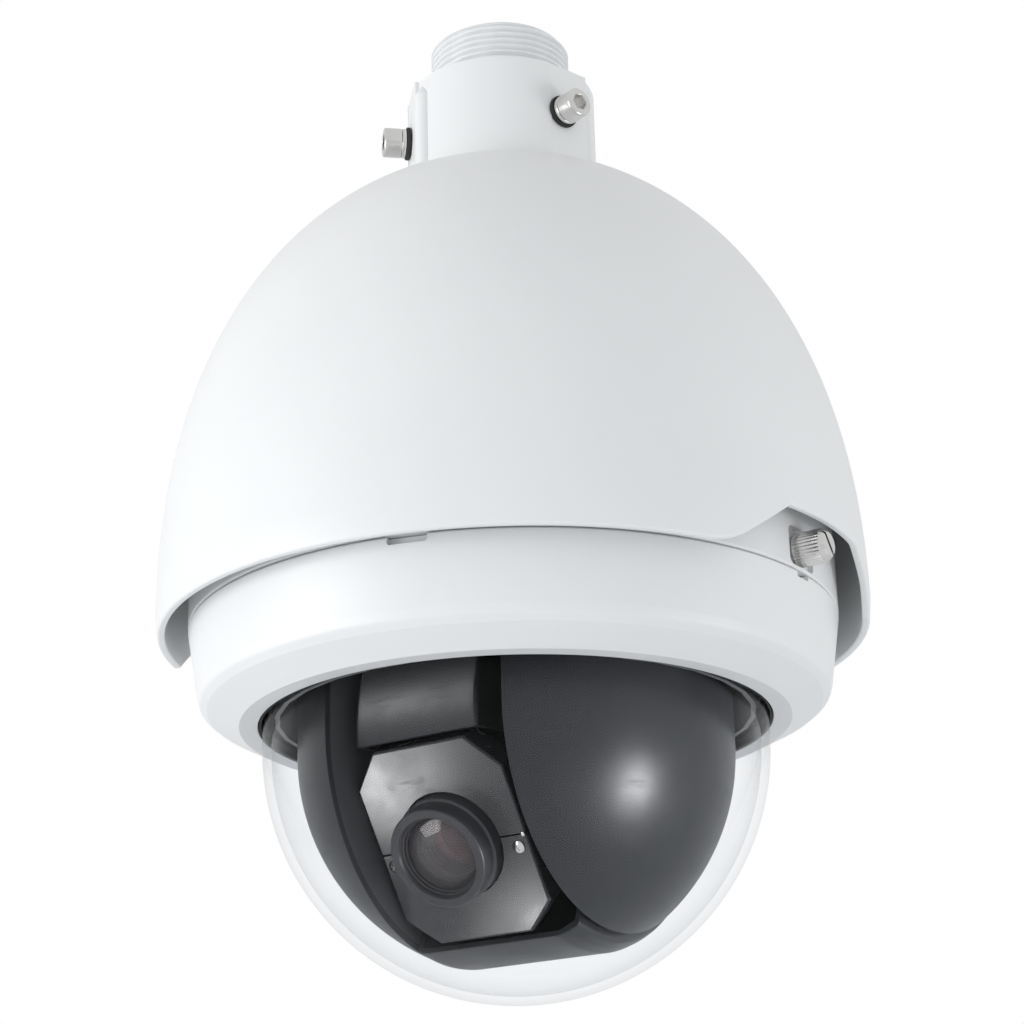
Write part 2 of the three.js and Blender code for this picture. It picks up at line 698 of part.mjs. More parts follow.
// The motor stands off the left arm on two posts.
function tiltMotor() {
  const { height, radius, inner, outer, ear, post } = TILT_MOTOR;
  const mounting = ARM.inner + ARM.thickness + GAP;
  let made = union(rod(radius, inner, outer, 20), block([-ear, -4, inner], [ear, 4, inner + 1.6]));
  for (const x of [-post, post]) {
    made = made.add(moved(rod(2.4, mounting, inner + 1, 10), translation(x, 0, 0)));
  }
  return leftward(made, height);
}
function tiltBelt() {
  const low = TILT_PULLEY.inner + 1;
  const distance = TILT_MOTOR.height - BALL.centre;
  const made = belt(TILT_PULLEY.radius, TILT_MOTOR_PULLEY_RADIUS, distance, low, low + 2.6);
  const upright = moved(made, new THREE.Matrix4().makeRotationZ(90 * DEG));
  return leftward(upright, BALL.centre);
}

// ---- tilting camera, in its own frame ----

// A sector of a wall round the tilt axis, by angles measured up from straight ahead.
function sector(inner, outer, from, to, low, high) {
  const shape = new THREE.Shape();
  shape.absarc(0, 0, outer, from * DEG, to * DEG, to < from);
  shape.absarc(0, 0, inner, to * DEG, from * DEG, to >= from);
  shape.closePath();
  return pushed(shape, low, high, SIDEWAYS);
}

function drumHood() {
  const { radius, wall, half, from, sideFrom, to, core } = HOOD;
  return union(
    sector(radius - wall, radius, from, to, -half, half),
    sector(core, radius - 0.5, sideFrom, to, half - wall, half),
    sector(core, radius - 0.5, sideFrom, to, -half, wall - half),
  );
}

function tiltDrum() {
  const { radius, wall, left, right, from, to, core } = DRUM;
  const disc = (low, high) => moved(rod(core + 2, low, high, 24), SIDEWAYS);
  return union(
    sector(radius - wall, radius, from, to, -right, left),
    sector(core, radius - 0.5, from, to, left - wall, left),
    sector(core, radius - 0.5, from, to, -right, wall - right),
    disc(left - wall, left),
    disc(-right, wall - right),
  );
}

const FACE_OUTLINE = [
  [-FACE.endHalf, FACE_HEIGHTS.top],
  [-FACE.half, FACE_HEIGHTS.upper],
  [-FACE.half, FACE_HEIGHTS.lower],
  [-FACE.endHalf, FACE_HEIGHTS.bottom],
  [FACE.endHalf, FACE_HEIGHTS.bottom],
  [FACE.half, FACE_HEIGHTS.lower],
  [FACE.half, FACE_HEIGHTS.upper],
  [FACE.endHalf, FACE_HEIGHTS.top],
];

// Half of the octagonal front cover: a plate with a rim running back, round the lens.
function frontCover(upper) {
  const back = FACE.at - FACE.depth;
  const middle = (FACE_HEIGHTS.top + FACE_HEIGHTS.bottom) / 2;
  const reach = (FACE_HEIGHTS.top - FACE_HEIGHTS.bottom) / 2;
  const [shrinkX, shrinkY] = [1 - FACE.wall / FACE.half, 1 - FACE.wall / reach];
  const innerOutline = FACE_OUTLINE.map(([x, y]) => [x * shrinkX, middle + (y - middle) * shrinkY]);
  let made = pushed(outline(FACE_OUTLINE), back, FACE.at, FORWARD);
  made = cut(made, pushed(outline(innerOutline), back - OVERSHOOT, FACE.at - FACE.plate, FORWARD));
  const lensHole = moved(rod(BARREL.base + 0.4, back, FACE.at + OVERSHOOT, 32), FORWARD);
  made = cut(made, moved(lensHole, translation(0, 0, LENS_HEIGHT)));
  const low = upper ? LENS_HEIGHT + SPLIT_GAP / 2 : -80;
  const high = upper ? 80 : LENS_HEIGHT - SPLIT_GAP / 2;
  made = made.intersect(block([-80, -80, low], [80, 0, high]));
  if (!upper) {
    for (const side of [-1, 1]) {
      const hole = moved(rod(COVER_SCREW.shank + GAP, back, FACE.at + OVERSHOOT, 12), FORWARD);
      made = cut(made, moved(hole, coverScrewPlace(side)));
    }
  }
  return made;
}

const coverScrewPlace = (side) =>
  translation(side * COVER_SCREW.x, 0, LENS_HEIGHT - COVER_SCREW.below);

function coverScrew(side) {
  const low = FACE.at + 0.1;
  const { head, shank } = COVER_SCREW;
  const made = turned([
    [0, low - 6],
    [shank, low - 6],
    [shank, low],
    [head, low],
    [head, low + 0.5],
    [0.6 * head, low + 1],
    [0, low + 1],
  ], SMALL_ROUND);
  const slot = (x, y) => block([-x, -y, low + 0.45], [x, y, low + 2]);
  return moved(moved(cut(made, slot(1, 0.22), slot(0.22, 1)), FORWARD), coverScrewPlace(side));
}

const onLensAxis = (solid) =>
  moved(moved(solid, FORWARD), translation(0, 0, LENS_HEIGHT));

function cameraModule() {
  const { half, back, front, top, bottom, bore, boreBack } = MODULE;
  const body = block([-half, -front, bottom], [half, -back, top]);
  return cut(body, onLensAxis(rod(bore, boreBack, front + OVERSHOOT, 32)));
}

function lensBarrel() {
  const { base, rim, back, step, front, mouth, throat } = BARREL;
  const made = turnedRing([
    [throat, back],
    [base, back],
    [base, step],
    [rim, step + 0.6],
    [rim, front - 0.5],
    [rim - 0.5, front],
    [mouth, front],
    [mouth - 0.5, front - 1.5],
    [throat, back + 3.6],
  ], 28);
  return onLensAxis(made);
}

function frontGlass() {
  const { radius, back, rim, crown } = FRONT_GLASS;
  const profile = [
    [0, back],
    [radius, back],
    [radius, rim],
    [0.815 * radius, rim + 0.45 * (crown - rim)],
    [0.49 * radius, rim + 0.81 * (crown - rim)],
    [0, crown],
  ];
  return onLensAxis(turned(profile, 20));
}

function zoomGroup() {
  const { radius, edge, dish, back, front } = ZOOM_GROUP;
  const profile = [
    [0, back + 1.5],
    [dish, back + 0.8],
    [edge, back],
    [radius, back],
    [radius, front],
    [edge, front],
    [dish, front - 0.8],
    [0, front - 1.5],
  ];
  return onLensAxis(turned(profile, SMALL_ROUND));
}

const sensorBoard = () =>
  block([-17, -MODULE.back + GAP, MODULE.bottom + 2], [17, -MODULE.back + GAP + 1.6, MODULE.top - 2]);

function tiltAxle(side, outer) {
  const { radius, flange } = AXLE;
  const inner = (side > 0 ? DRUM.right : DRUM.left) + GAP;
  const made = union(rod(flange, inner, ARM.inner - GAP, 16), rod(radius, inner, outer, 16));
  return moved(made, side > 0 ? ALONG_X : SIDEWAYS);
}

// ---- assembly ----

const root = new THREE.Group();
const camera = new THREE.Group();
camera.position.z = -THREAD_TOP;
root.add(camera);

addMesh(camera, "thread_adaptor", threadAdaptor(), "white");
addMesh(camera, "neck_collar", neckCollar(), "white");
COLLAR_SCREW_AZIMUTHS.forEach((azimuth, i) => {
  const place = (solid) => radial(solid, azimuth, COLLAR_SCREW.height);
  addMesh(camera, `collar_screw_${i + 1}`, place(collarScrew()), "steel");
  addMesh(camera, `collar_seal_washer_${i + 1}`, place(sealWasher()), "rubber");
  addMesh(camera, `collar_spring_washer_${i + 1}`, place(springWasher()), "steel");
});
addMesh(camera, "sun_shield", sunShield(), "white");
SHIELD_SCREW.azimuths.forEach((azimuth, i) => {
  addMesh(camera, `shield_screw_${i + 1}`, carried(shieldScrew(), azimuth, SHIELD_SCREW.at), "steel");
});
addMesh(camera, "upper_housing", upperHousing(), "white");
addMesh(camera, "housing_seal", housingSeal(), "rubber");
THUMBSCREW_AZIMUTHS.forEach((azimuth, i) => {
  addMesh(camera, `thumbscrew_${i + 1}`, radial(thumbscrew(), azimuth, THUMBSCREW_HEIGHT), "steel");
});

addMesh(camera, "dome_ring", domeRing(), "white");
addMesh(camera, "dome_bubble", domeBubble(), "clear");
addMesh(camera, "dome_gasket", domeGasket(), "rubber");
addMesh(camera, "bubble_clamp_ring", clampRing(), "black");
CLAMP_SCREW_AZIMUTHS.forEach((azimuth, i) => {
  addMesh(camera, `clamp_screw_${i + 1}`, carried(clampScrew(), azimuth, CLAMP.bolt), "steel");
});
addMesh(camera, "dome_baffle", domeBaffle(), "black");

addMesh(camera, "chassis_plate", chassisPlate(), "aluminium");
addMesh(camera, "pan_bearing", panBearing(), "steel");
addMesh(camera, "slip_ring_housing", slipRingHousing(), "black");
addMesh(camera, "main_board", mainBoard(), "board");
addMesh(camera, "power_board", powerBoard(), "board");

const panMotorPlace = new THREE.Group();
panMotorPlace.position.set(...PAN_MOTOR_AT, 0);
camera.add(panMotorPlace);
addMesh(panMotorPlace, "pan_motor", panMotor(), "black");
const motorPulley = shaftAndPulley(
  PAN_MOTOR_PULLEY_RADIUS, PAN_PULLEY.low, PAN_PULLEY.high, CHASSIS.high,
);
addMesh(panMotorPlace, "pan_motor_pulley", motorPulley, "aluminium");
const panBelt = addMesh(
  camera,
  "pan_belt",
  belt(PAN_PULLEY.radius, PAN_MOTOR_PULLEY_RADIUS, PAN_MOTOR.at, PAN_PULLEY.low + 1.2, PAN_PULLEY.high - 1.2),
  "rubber",
);
panBelt.rotation.z = (PAN_MOTOR.azimuth - 90) * DEG;

const head = new THREE.Group();
head.rotation.z = PAN_REST * DEG;
camera.add(head);
addMesh(head, "turntable", turntable(), "aluminium");
const panPulley = pulley(TURNTABLE.hub + GAP, PAN_PULLEY.radius, PAN_PULLEY.low, PAN_PULLEY.high);
addMesh(head, "pan_pulley", panPulley, "aluminium");
const slipRingRotor = rod(TURNTABLE.bore - 0.4, SLIP_RING_ROTOR.low, SLIP_RING_ROTOR.high, 24);
addMesh(head, "slip_ring_rotor", slipRingRotor, "black");
for (const [word, side] of [["left", -1], ["right", 1]]) {
  addMesh(head, `cheek_${word}`, cheek(side), "dark");
  addMesh(head, `yoke_arm_${word}`, yokeArm(side), "black");
}
addMesh(head, "tilt_motor", tiltMotor(), "black");
addMesh(head, "tilt_belt", tiltBelt(), "rubber");
const tiltMotorPulley = shaftAndPulley(
  TILT_MOTOR_PULLEY_RADIUS, TILT_PULLEY.inner, TILT_PULLEY.inner + TILT_PULLEY.width, TILT_MOTOR.inner - GAP,
);
addMesh(head, "tilt_motor_pulley", leftward(tiltMotorPulley, TILT_MOTOR.height), "aluminium");

const eye = new THREE.Group();
eye.position.z = BALL.centre;
eye.rotation.x = TILT_REST * DEG;
head.add(eye);
addMesh(eye, "camera_module", cameraModule(), "black");
addMesh(eye, "front_cover_upper", frontCover(true), "dark");
addMesh(eye, "front_cover_lower", frontCover(false), "dark");
addMesh(eye, "cover_screw_left", coverScrew(-1), "steel");
addMesh(eye, "cover_screw_right", coverScrew(1), "steel");
addMesh(eye, "drum_hood", drumHood(), "dark");
addMesh(eye, "tilt_drum", tiltDrum(), "dark");
addMesh(eye, "lens_barrel", lensBarrel(), "black");
addMesh(eye, "front_glass", frontGlass(), "optic");
addMesh(eye, "zoom_lens_group", zoomGroup(), "black");
addMesh(eye, "sensor_board", sensorBoard(), "board");
addMesh(eye, "tilt_axle_left", tiltAxle(-1, TILT_PULLEY.inner + TILT_PULLEY.width + 1.2), "steel");
addMesh(eye, "tilt_axle_right", tiltAxle(1, ARM.inner + ARM.thickness + 3), "steel");
const tiltPulley = pulley(
  AXLE.radius + GAP, TILT_PULLEY.radius, TILT_PULLEY.inner, TILT_PULLEY.inner + TILT_PULLEY.width,
);
addMesh(eye, "tilt_pulley", moved(tiltPulley, SIDEWAYS), "aluminium");

export default root;
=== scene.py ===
import json
import math

import bmesh
import bpy
from mathutils import Matrix, Vector

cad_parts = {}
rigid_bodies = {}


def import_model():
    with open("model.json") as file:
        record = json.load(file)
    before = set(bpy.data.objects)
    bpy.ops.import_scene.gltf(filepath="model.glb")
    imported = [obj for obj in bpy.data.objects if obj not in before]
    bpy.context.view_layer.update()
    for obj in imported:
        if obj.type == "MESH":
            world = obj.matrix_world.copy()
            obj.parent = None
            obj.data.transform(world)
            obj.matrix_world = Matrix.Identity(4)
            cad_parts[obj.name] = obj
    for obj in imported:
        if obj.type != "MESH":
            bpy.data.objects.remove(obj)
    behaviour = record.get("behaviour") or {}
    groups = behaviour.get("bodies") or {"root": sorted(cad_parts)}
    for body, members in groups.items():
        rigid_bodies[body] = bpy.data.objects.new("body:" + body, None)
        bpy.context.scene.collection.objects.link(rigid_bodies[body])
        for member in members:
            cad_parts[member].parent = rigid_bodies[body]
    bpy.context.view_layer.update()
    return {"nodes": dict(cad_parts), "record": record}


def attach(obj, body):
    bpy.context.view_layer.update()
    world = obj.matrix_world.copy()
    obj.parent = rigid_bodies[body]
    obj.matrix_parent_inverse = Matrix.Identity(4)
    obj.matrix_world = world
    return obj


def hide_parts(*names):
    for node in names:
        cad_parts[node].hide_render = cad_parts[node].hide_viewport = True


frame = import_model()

# Sizes are in millimetres. Heights are measured from the plane of the dome opening, which
# lies 242.5 mm below the thread's end face, where the row frame has its origin.
# An azimuth turns from the front (-Y) towards +X.
ROW = Matrix.Scale(0.001, 4) @ Matrix.Translation((0, 0, -242.5))
UPRIGHT = Matrix.Identity(4)
TO_FRONT = Matrix.Rotation(math.radians(90), 4, "X")
ALONG_X = Matrix(((0, 0, 1, 0), (1, 0, 0, 0), (0, 1, 0, 0), (0, 0, 0, 1)))
SEGMENTS = 256
ARC_STEPS = 5

SHIELD = {"radius": 113.1, "waist": 35, "rise": 155, "wall": 2.4}
SHIELD_LIP = {"height": 27.8, "radius": 112.4, "round": 0.8}
SHIELD_LAND = {"radius": 41, "hole": 31}
HOUSING = {"radius": 102.9, "waist": 45, "rise": 136, "wall": 3.5}
NOTCH_AZIMUTHS = (57, -123)
THUMBSCREW_HEIGHT = 37.6
COLLAR_SCREW_AZIMUTHS = (-80, 40, 160)
COLLAR_SCREW_HEIGHT = 205.5
SHIELD_SCREW_AZIMUTHS = (61, -59, 181)
SHIELD_SCREW_RADIUS = 36.5
BALL = {"radius": 68.3, "centre": -8.3, "wall": 2.2, "top": 57.9}
BALL_LIMIT = 68.9  # the tilting covers stay this close to the ball's centre
SLOT = {"left": 27.2, "right": 33.6}
PAN, TILT, LENS_DROP = -32.7, 34.1, 8.5

# Frames of the pan head, the ball's centre, the tilting camera and its lens.
HEAD = Matrix.Rotation(math.radians(PAN), 4, "Z")
BALL_CENTRE = HEAD @ Matrix.Translation((0, 0, BALL["centre"]))
EYE = BALL_CENTRE @ Matrix.Rotation(math.radians(TILT), 4, "X")
LENS = EYE @ Matrix.Translation((0, 0, -LENS_DROP)) @ TO_FRONT


# ---- profiles ----


def rounded(points, closed=True, steps=ARC_STEPS):
    """Points of a path whose corners, given as (x, y, radius), are rounded."""
    made = []
    count = len(points)
    for i, (x, y, radius) in enumerate(points):
        if radius == 0 or (not closed and i in (0, count - 1)):
            made.append((x, y))
            continue
        here = Vector((x, y))
        before = Vector(points[i - 1][:2]) - here
        after = Vector(points[(i + 1) % count][:2]) - here
        half = before.angle(after) / 2
        if half > math.radians(89.5):
            made.append((x, y))
            continue
        reach = min(
            radius / math.tan(half), 0.49 * before.length, 0.49 * after.length
        )
        radius = reach * math.tan(half)
        middle = (before.normalized() + after.normalized()).normalized()
        centre = here + middle * (radius / math.sin(half))
        start = here + before.normalized() * reach - centre
        end = here + after.normalized() * reach - centre
        turn = start.angle_signed(end)
        for k in range(steps + 1):
            spoke = start.copy()
            spoke.rotate(Matrix.Rotation(-turn * k / steps, 2))
            made.append(tuple(centre + spoke))
    return made


def circle_arc(radius, centre, start, end, steps):
    """Points of a circle about a point on the axis, by degrees above the level."""
    made = []
    for i in range(steps + 1):
        angle = math.radians(start + (end - start) * i / steps)
        made.append(
            (max(0, radius * math.cos(angle)), centre + radius * math.sin(angle))
        )
    return made


def shell_radius(shell, height):
    """Radius of the superelliptic shell at a height above its waist."""
    share = ((height - shell["waist"]) / shell["rise"]) ** 2.2
    return shell["radius"] * (1 - share) ** (1 / 2.2)


def shell_height(shell, radius):
    """Height at which a shell has closed in to a radius."""
    share = 1 - (radius / shell["radius"]) ** 2.2
    return shell["waist"] + shell["rise"] * share ** (1 / 2.2)


def shell_arc(shell, low, radius, steps):
    """Points of a shell from a height up to where it has closed in to a radius."""
    start = math.asin(((low - shell["waist"]) / shell["rise"]) ** 1.1)
    end = math.acos((radius / shell["radius"]) ** 1.1)
    made = []
    for i in range(steps + 1):
        angle = start + (end - start) * i / steps
        made.append(
            (
                shell["radius"] * math.cos(angle) ** (1 / 1.1),
                shell["waist"] + shell["rise"] * math.sin(angle) ** (1 / 1.1),
            )
        )
    return made


def inside(shell):
    """The inner face of a shell, one wall thickness in."""
    return {
        "radius": shell["radius"] - shell["wall"],
        "waist": shell["waist"],
        "rise": shell["rise"] - shell["wall"],
    }


def toward(azimuth, radius):
    """The point (x, y) at an azimuth and a radius."""
    angle = math.radians(azimuth)
    return radius * math.sin(angle), -radius * math.cos(angle)


def carried(azimuth, radius, height=0):
    """Places a solid built about Z at a radius, turned to face outwards."""
    turn = Matrix.Rotation(math.radians(azimuth), 4, "Z")
    return turn @ Matrix.Translation((0, -radius, height))


def radial(azimuth, height):
    """Lays a solid built along Z out along the radius at an azimuth and a height."""
    turn = Matrix.Rotation(math.radians(azimuth), 4, "Z")
    return Matrix.Translation((0, 0, height)) @ turn @ TO_FRONT


# ---- meshes ----


def shape(name, verts, faces, place=UPRIGHT):
    """An object from vertices in millimetres, with its normals made to point out."""
    mesh = bpy.data.meshes.new(name)
    matrix = ROW @ place
    mesh.from_pydata([matrix @ Vector(v) for v in verts], [], faces)
    built = bmesh.new()
    built.from_mesh(mesh)
    bmesh.ops.remove_doubles(built, verts=built.verts, dist=1e-7)
    bmesh.ops.recalc_face_normals(built, faces=built.faces)
    built.to_mesh(mesh)
    built.free()
    made = bpy.data.objects.new(name, mesh)
    bpy.context.scene.collection.objects.link(made)
    return made


def grid_faces(columns, rows, wrap_columns, wrap_rows):
    """Quads of a grid whose vertices are stored column by column."""
    faces = []
    for i in range(columns if wrap_columns else columns - 1):
        for j in range(rows if wrap_rows else rows - 1):
            right = (i + 1) % columns
            above = (j + 1) % rows
            faces.append(
                (
                    i * rows + j,
                    right * rows + j,
                    right * rows + above,
                    i * rows + above,
                )
            )
    return faces


def lathe(name, profile, place=UPRIGHT, segments=None, closed=True):
    """A profile of (radius, height) turned about Z."""
    count = segments or SEGMENTS
    verts = []
    for i in range(count):
        angle = math.tau * i / count
        verts += [(r * math.cos(angle), r * math.sin(angle), z) for r, z in profile]
    faces = grid_faces(count, len(profile), True, closed)
    return shape(name, verts, faces, place)


def prism(name, outline, low, high, place=UPRIGHT, bevel=0.0, steps=3):
    """A flat outline pushed along Z, with its two rims rounded."""
    count = len(outline)

    def shrunk(distance):
        made = []
        for i, point in enumerate(outline):
            here = Vector(point)
            before = (here - Vector(outline[i - 1])).normalized()
            after = (Vector(outline[(i + 1) % count]) - here).normalized()
            normal = Vector((-before.y - after.y, before.x + after.x))
            if normal.length < 1e-6:
                made.append(point)
                continue
            normal.normalize()
            share = max(0.3, normal.dot(Vector((-before.y, before.x))))
            made.append(tuple(here + normal * distance / share))
        return made

    rings = []
    angles = [math.pi / 2 * k / steps for k in range(steps + 1)] if bevel else [0]
    for a in angles:
        inset = bevel * (1 - math.sin(a))
        rings.append((shrunk(inset), low + bevel * (1 - math.cos(a))))
    for a in reversed(angles):
        inset = bevel * (1 - math.sin(a))
        rings.append((shrunk(inset), high - bevel * (1 - math.cos(a))))
    verts = [(x, y, z) for ring, z in rings for x, y in ring]
    faces = []
    for j in range(len(rings) - 1):
        for i in range(count):
            right = (i + 1) % count
            faces.append(
                (
                    j * count + i,
                    j * count + right,
                    (j + 1) * count + right,
                    (j + 1) * count + i,
                )
            )
    faces.append(tuple(reversed(range(count))))
    faces.append(tuple(range((len(rings) - 1) * count, len(rings) * count)))
    return shape(name, verts, faces, place)


def swept(name, section, start, end, steps, place):
    """A closed section of (x, radius) turned about X from one angle above forward to another."""
    verts = []
    for i in range(steps + 1):
        angle = math.radians(start + (end - start) * i / steps)
        verts += [(x, -r * math.cos(angle), r * math.sin(angle)) for x, r in section]
    count = len(section)
    faces = grid_faces(steps + 1, count, False, True)
    faces.append(tuple(range(count)))
    faces.append(tuple(steps * count + k for k in reversed(range(count))))
    return shape(name, verts, faces, place)


def block(low, high, place=UPRIGHT, bevel=0.0):
    (x0, y0, z0), (x1, y1, z1) = low, high
    outline = [(x0, y0), (x1, y0), (x1, y1), (x0, y1)]
    if bevel:
        outline = rounded([(x, y, bevel) for x, y in outline])
    return prism("block", outline, z0, z1, place, bevel=min(bevel, 0.49 * (z1 - z0)))


def settle(obj):
    """Applies the object's modifiers."""
    shown = obj.evaluated_get(bpy.context.evaluated_depsgraph_get())
    mesh = bpy.data.meshes.new_from_object(shown)
    obj.modifiers.clear()
    obj.data = mesh
    return obj


def boolean(obj, operation, *tools):
    for tool in tools:
        step = obj.modifiers.new("boolean", "BOOLEAN")
        step.operation = operation
        step.solver = "EXACT"
        step.object = tool
    bpy.context.view_layer.update()
    settle(obj)
    for tool in tools:
        bpy.data.objects.remove(tool)
    return obj


def carve(obj, *tools):
    return boolean(obj, "DIFFERENCE", *tools)


def soften(obj, width, degrees=40, segments=3):
    """Rounds the object's sharp edges."""
    bevel = obj.modifiers.new("bevel", "BEVEL")
    bevel.width = width / 1000
    bevel.segments = segments
    bevel.limit_method = "ANGLE"
    bevel.angle_limit = math.radians(degrees)
    bevel.use_clamp_overlap = True
    bevel.harden_normals = False
    return settle(obj)


def joined(name, *objects):
    """One object that holds the meshes of several."""
    built = bmesh.new()
    for obj in objects:
        built.from_mesh(obj.data)
        bpy.data.objects.remove(obj)
    mesh = bpy.data.meshes.new(name)
    built.to_mesh(mesh)
    built.free()
    made = bpy.data.objects.new(name, mesh)
    bpy.context.scene.collection.objects.link(made)
    return made


def piece(obj, name, body, material, nodes=(), sharp=38):
    """Finishes an object as a piece of the camera that rides a body and stands for CAD nodes."""
    obj.name = name
    obj.data.name = name
    obj.data.materials.clear()
    obj.data.materials.append(material)
    obj.data.polygons.foreach_set("use_smooth", [True] * len(obj.data.polygons))
    obj.data.set_sharp_from_angle(angle=math.radians(sharp))
    weigh = obj.modifiers.new("weighted", "WEIGHTED_NORMAL")
    weigh.keep_sharp = True
    settle(obj)
    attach(obj, body)
    if nodes:
        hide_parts(*nodes)
    return obj


# ---- materials ----


class Look:
    """A material under construction, with its textures in the row frame's metres."""

    def __init__(self, name):
        self.material = bpy.data.materials.new(name)
        self.material.use_nodes = True
        self.tree = self.material.node_tree
        self.tree.nodes.clear()
        self.out = self.add("ShaderNodeOutputMaterial")
        self.place = self.add("ShaderNodeTexCoord").outputs["Object"]

    def add(self, kind, settings=None, **sockets):
        made = self.tree.nodes.new(kind)
        for key, value in (settings or {}).items():
            setattr(made, key, value)
        for key, value in sockets.items():
            self.set(made.inputs[key.replace("_", " ")], value)
        return made

    def set(self, socket, value):
        if isinstance(value, bpy.types.NodeSocket):
            self.tree.links.new(value, socket)
        else:
            socket.default_value = value

    def noise(self, scale, detail=3, roughness=0.55, stretch=None):
        place = self.place
        if stretch:
            place = self.add("ShaderNodeMapping", Vector=place, Scale=stretch)
            place = place.outputs["Vector"]
        made = self.add(
            "ShaderNodeTexNoise",
            Vector=place,
            Scale=scale,
            Detail=detail,
            Roughness=roughness,
        )
        return made.outputs["Fac"]

    def spots(self, scale, size):
        """1 in small scattered spots and 0 between them."""
        cells = self.add("ShaderNodeTexVoronoi", Vector=self.place, Scale=scale)
        return self.spread(cells.outputs["Distance"], size, 0.6 * size, 0, 1)

    def spread(self, value, low, high, to_low, to_high):
        made = self.add(
            "ShaderNodeMapRange",
            Value=value,
            From_Min=low,
            From_Max=high,
            To_Min=to_low,
            To_Max=to_high,
        )
        return made.outputs["Result"]

    def mixed(self, share, first, second):
        made = self.add("ShaderNodeMix", {"data_type": "RGBA"})
        self.set(made.inputs[0], share)
        self.set(made.inputs[6], first)
        self.set(made.inputs[7], second)
        return made.outputs[2]

    def bump(self, height, strength, depth, normal=None):
        """A bump whose full height is depth millimetres."""
        made = self.add(
            "ShaderNodeBump", Height=height, Strength=strength, Distance=depth / 1000
        )
        if normal is not None:
            self.set(made.inputs["Normal"], normal)
        return made.outputs["Normal"]

    def surface(self, socket):
        self.tree.links.new(socket, self.out.inputs["Surface"])
        return self.material


def colour(*rgb):
    return (*rgb, 1.0)


def coated(name, base, shade, rough, grain=1400, grain_depth=0.02, sheen=0.5):
    """Paint or moulded plastic: a faint cloudiness, dust, fine texture and scuffs."""
    look = Look(name)
    clouds = look.spread(look.noise(14, 4), 0.35, 0.7, 0, 1)
    tint = look.mixed(clouds, colour(*base), colour(*shade))
    dust = look.spots(420, 0.035)
    share = look.spread(dust, 0, 1, 0, 0.2)
    mark = [0.6 * c + 0.12 for c in base]
    tint = look.mixed(share, tint, colour(*mark))
    fine = look.noise(grain, 2, 0.5)
    peel = look.noise(grain / 4, 2, 0.4)
    scuffs = look.noise(60, 6, 0.65, stretch=(1, 1, 5))
    scuffs = look.spread(scuffs, 0.56, 0.72, 0, 1)
    even = look.spread(look.noise(45, 4), 0.3, 0.7, rough - 0.045, rough + 0.045)
    gloss = look.add("ShaderNodeMath", {"operation": "MULTIPLY_ADD"})
    look.set(gloss.inputs[0], scuffs)
    look.set(gloss.inputs[1], 0.07)
    look.set(gloss.inputs[2], even)
    normal = look.bump(peel, 0.4, grain_depth)
    normal = look.bump(fine, 0.35, 0.6 * grain_depth, normal)
    shader = look.add(
        "ShaderNodeBsdfPrincipled",
        Base_Color=tint,
        Roughness=gloss.outputs[0],
        Normal=normal,
        Specular_IOR_Level=sheen,
    )
    return look.surface(shader.outputs["BSDF"])


def metal(name, base, shade, rough, lines=(1, 1, 1), line_scale=600, depth=0.01):
    """Bare metal with tool marks, smears and a few nicks."""
    look = Look(name)
    smears = look.spread(look.noise(70, 4), 0.3, 0.7, 0, 1)
    tint = look.mixed(smears, colour(*base), colour(*shade))
    marks = look.noise(line_scale, 3, 0.6, stretch=lines)
    gloss = look.spread(marks, 0.25, 0.75, rough - 0.07, rough + 0.09)
    normal = look.bump(marks, 0.6, depth)
    normal = look.bump(look.spots(500, 0.05), 0.4, depth, normal)
    shader = look.add(
        "ShaderNodeBsdfPrincipled",
        Base_Color=tint,
        Roughness=gloss,
        Normal=normal,
        Metallic=1.0,
    )
    return look.surface(shader.outputs["BSDF"])


def clear_shell(name, tint, shade, mirrors, dusty):
    """A thin clear moulding: mirrors more at a glancing angle, and carries faint dust."""
    look = Look(name)
    smear = look.spread(look.noise(20, 5, stretch=(1, 1, 3)), 0.35, 0.75, 0, 1)
    gloss = look.spread(smear, 0, 1, 0.012, 0.05)
    wave = look.bump(look.noise(30, 2), 0.15, 0.05)
    facing = look.add("ShaderNodeLayerWeight", Blend=0.5, Normal=wave)
    steep = look.add("ShaderNodeMath", {"operation": "POWER"})
    look.set(steep.inputs[0], facing.outputs["Facing"])
    look.set(steep.inputs[1], 5.5)
    edge = look.spread(steep.outputs[0], 0, 1, *mirrors)
    mirror = look.add(
        "ShaderNodeBsdfGlossy", Color=colour(1, 1, 1), Roughness=gloss, Normal=wave
    )
    tint = look.mixed(smear, colour(*tint), colour(*shade))
    through = look.add("ShaderNodeBsdfTransparent", Color=tint)
    glass = look.add("ShaderNodeMixShader")
    look.set(glass.inputs[0], edge)
    look.set(glass.inputs[1], through.outputs[0])
    look.set(glass.inputs[2], mirror.outputs[0])
    specks = look.spots(300, 0.03)
    haze = look.spread(specks, 0, 1, *dusty)
    dust = look.add("ShaderNodeBsdfDiffuse", Color=colour(0.8, 0.82, 0.85))
    both = look.add("ShaderNodeMixShader")
    look.set(both.inputs[0], haze)
    look.set(both.inputs[1], glass.outputs[0])
    look.set(both.inputs[2], dust.outputs[0])
    return look.surface(both.outputs[0])


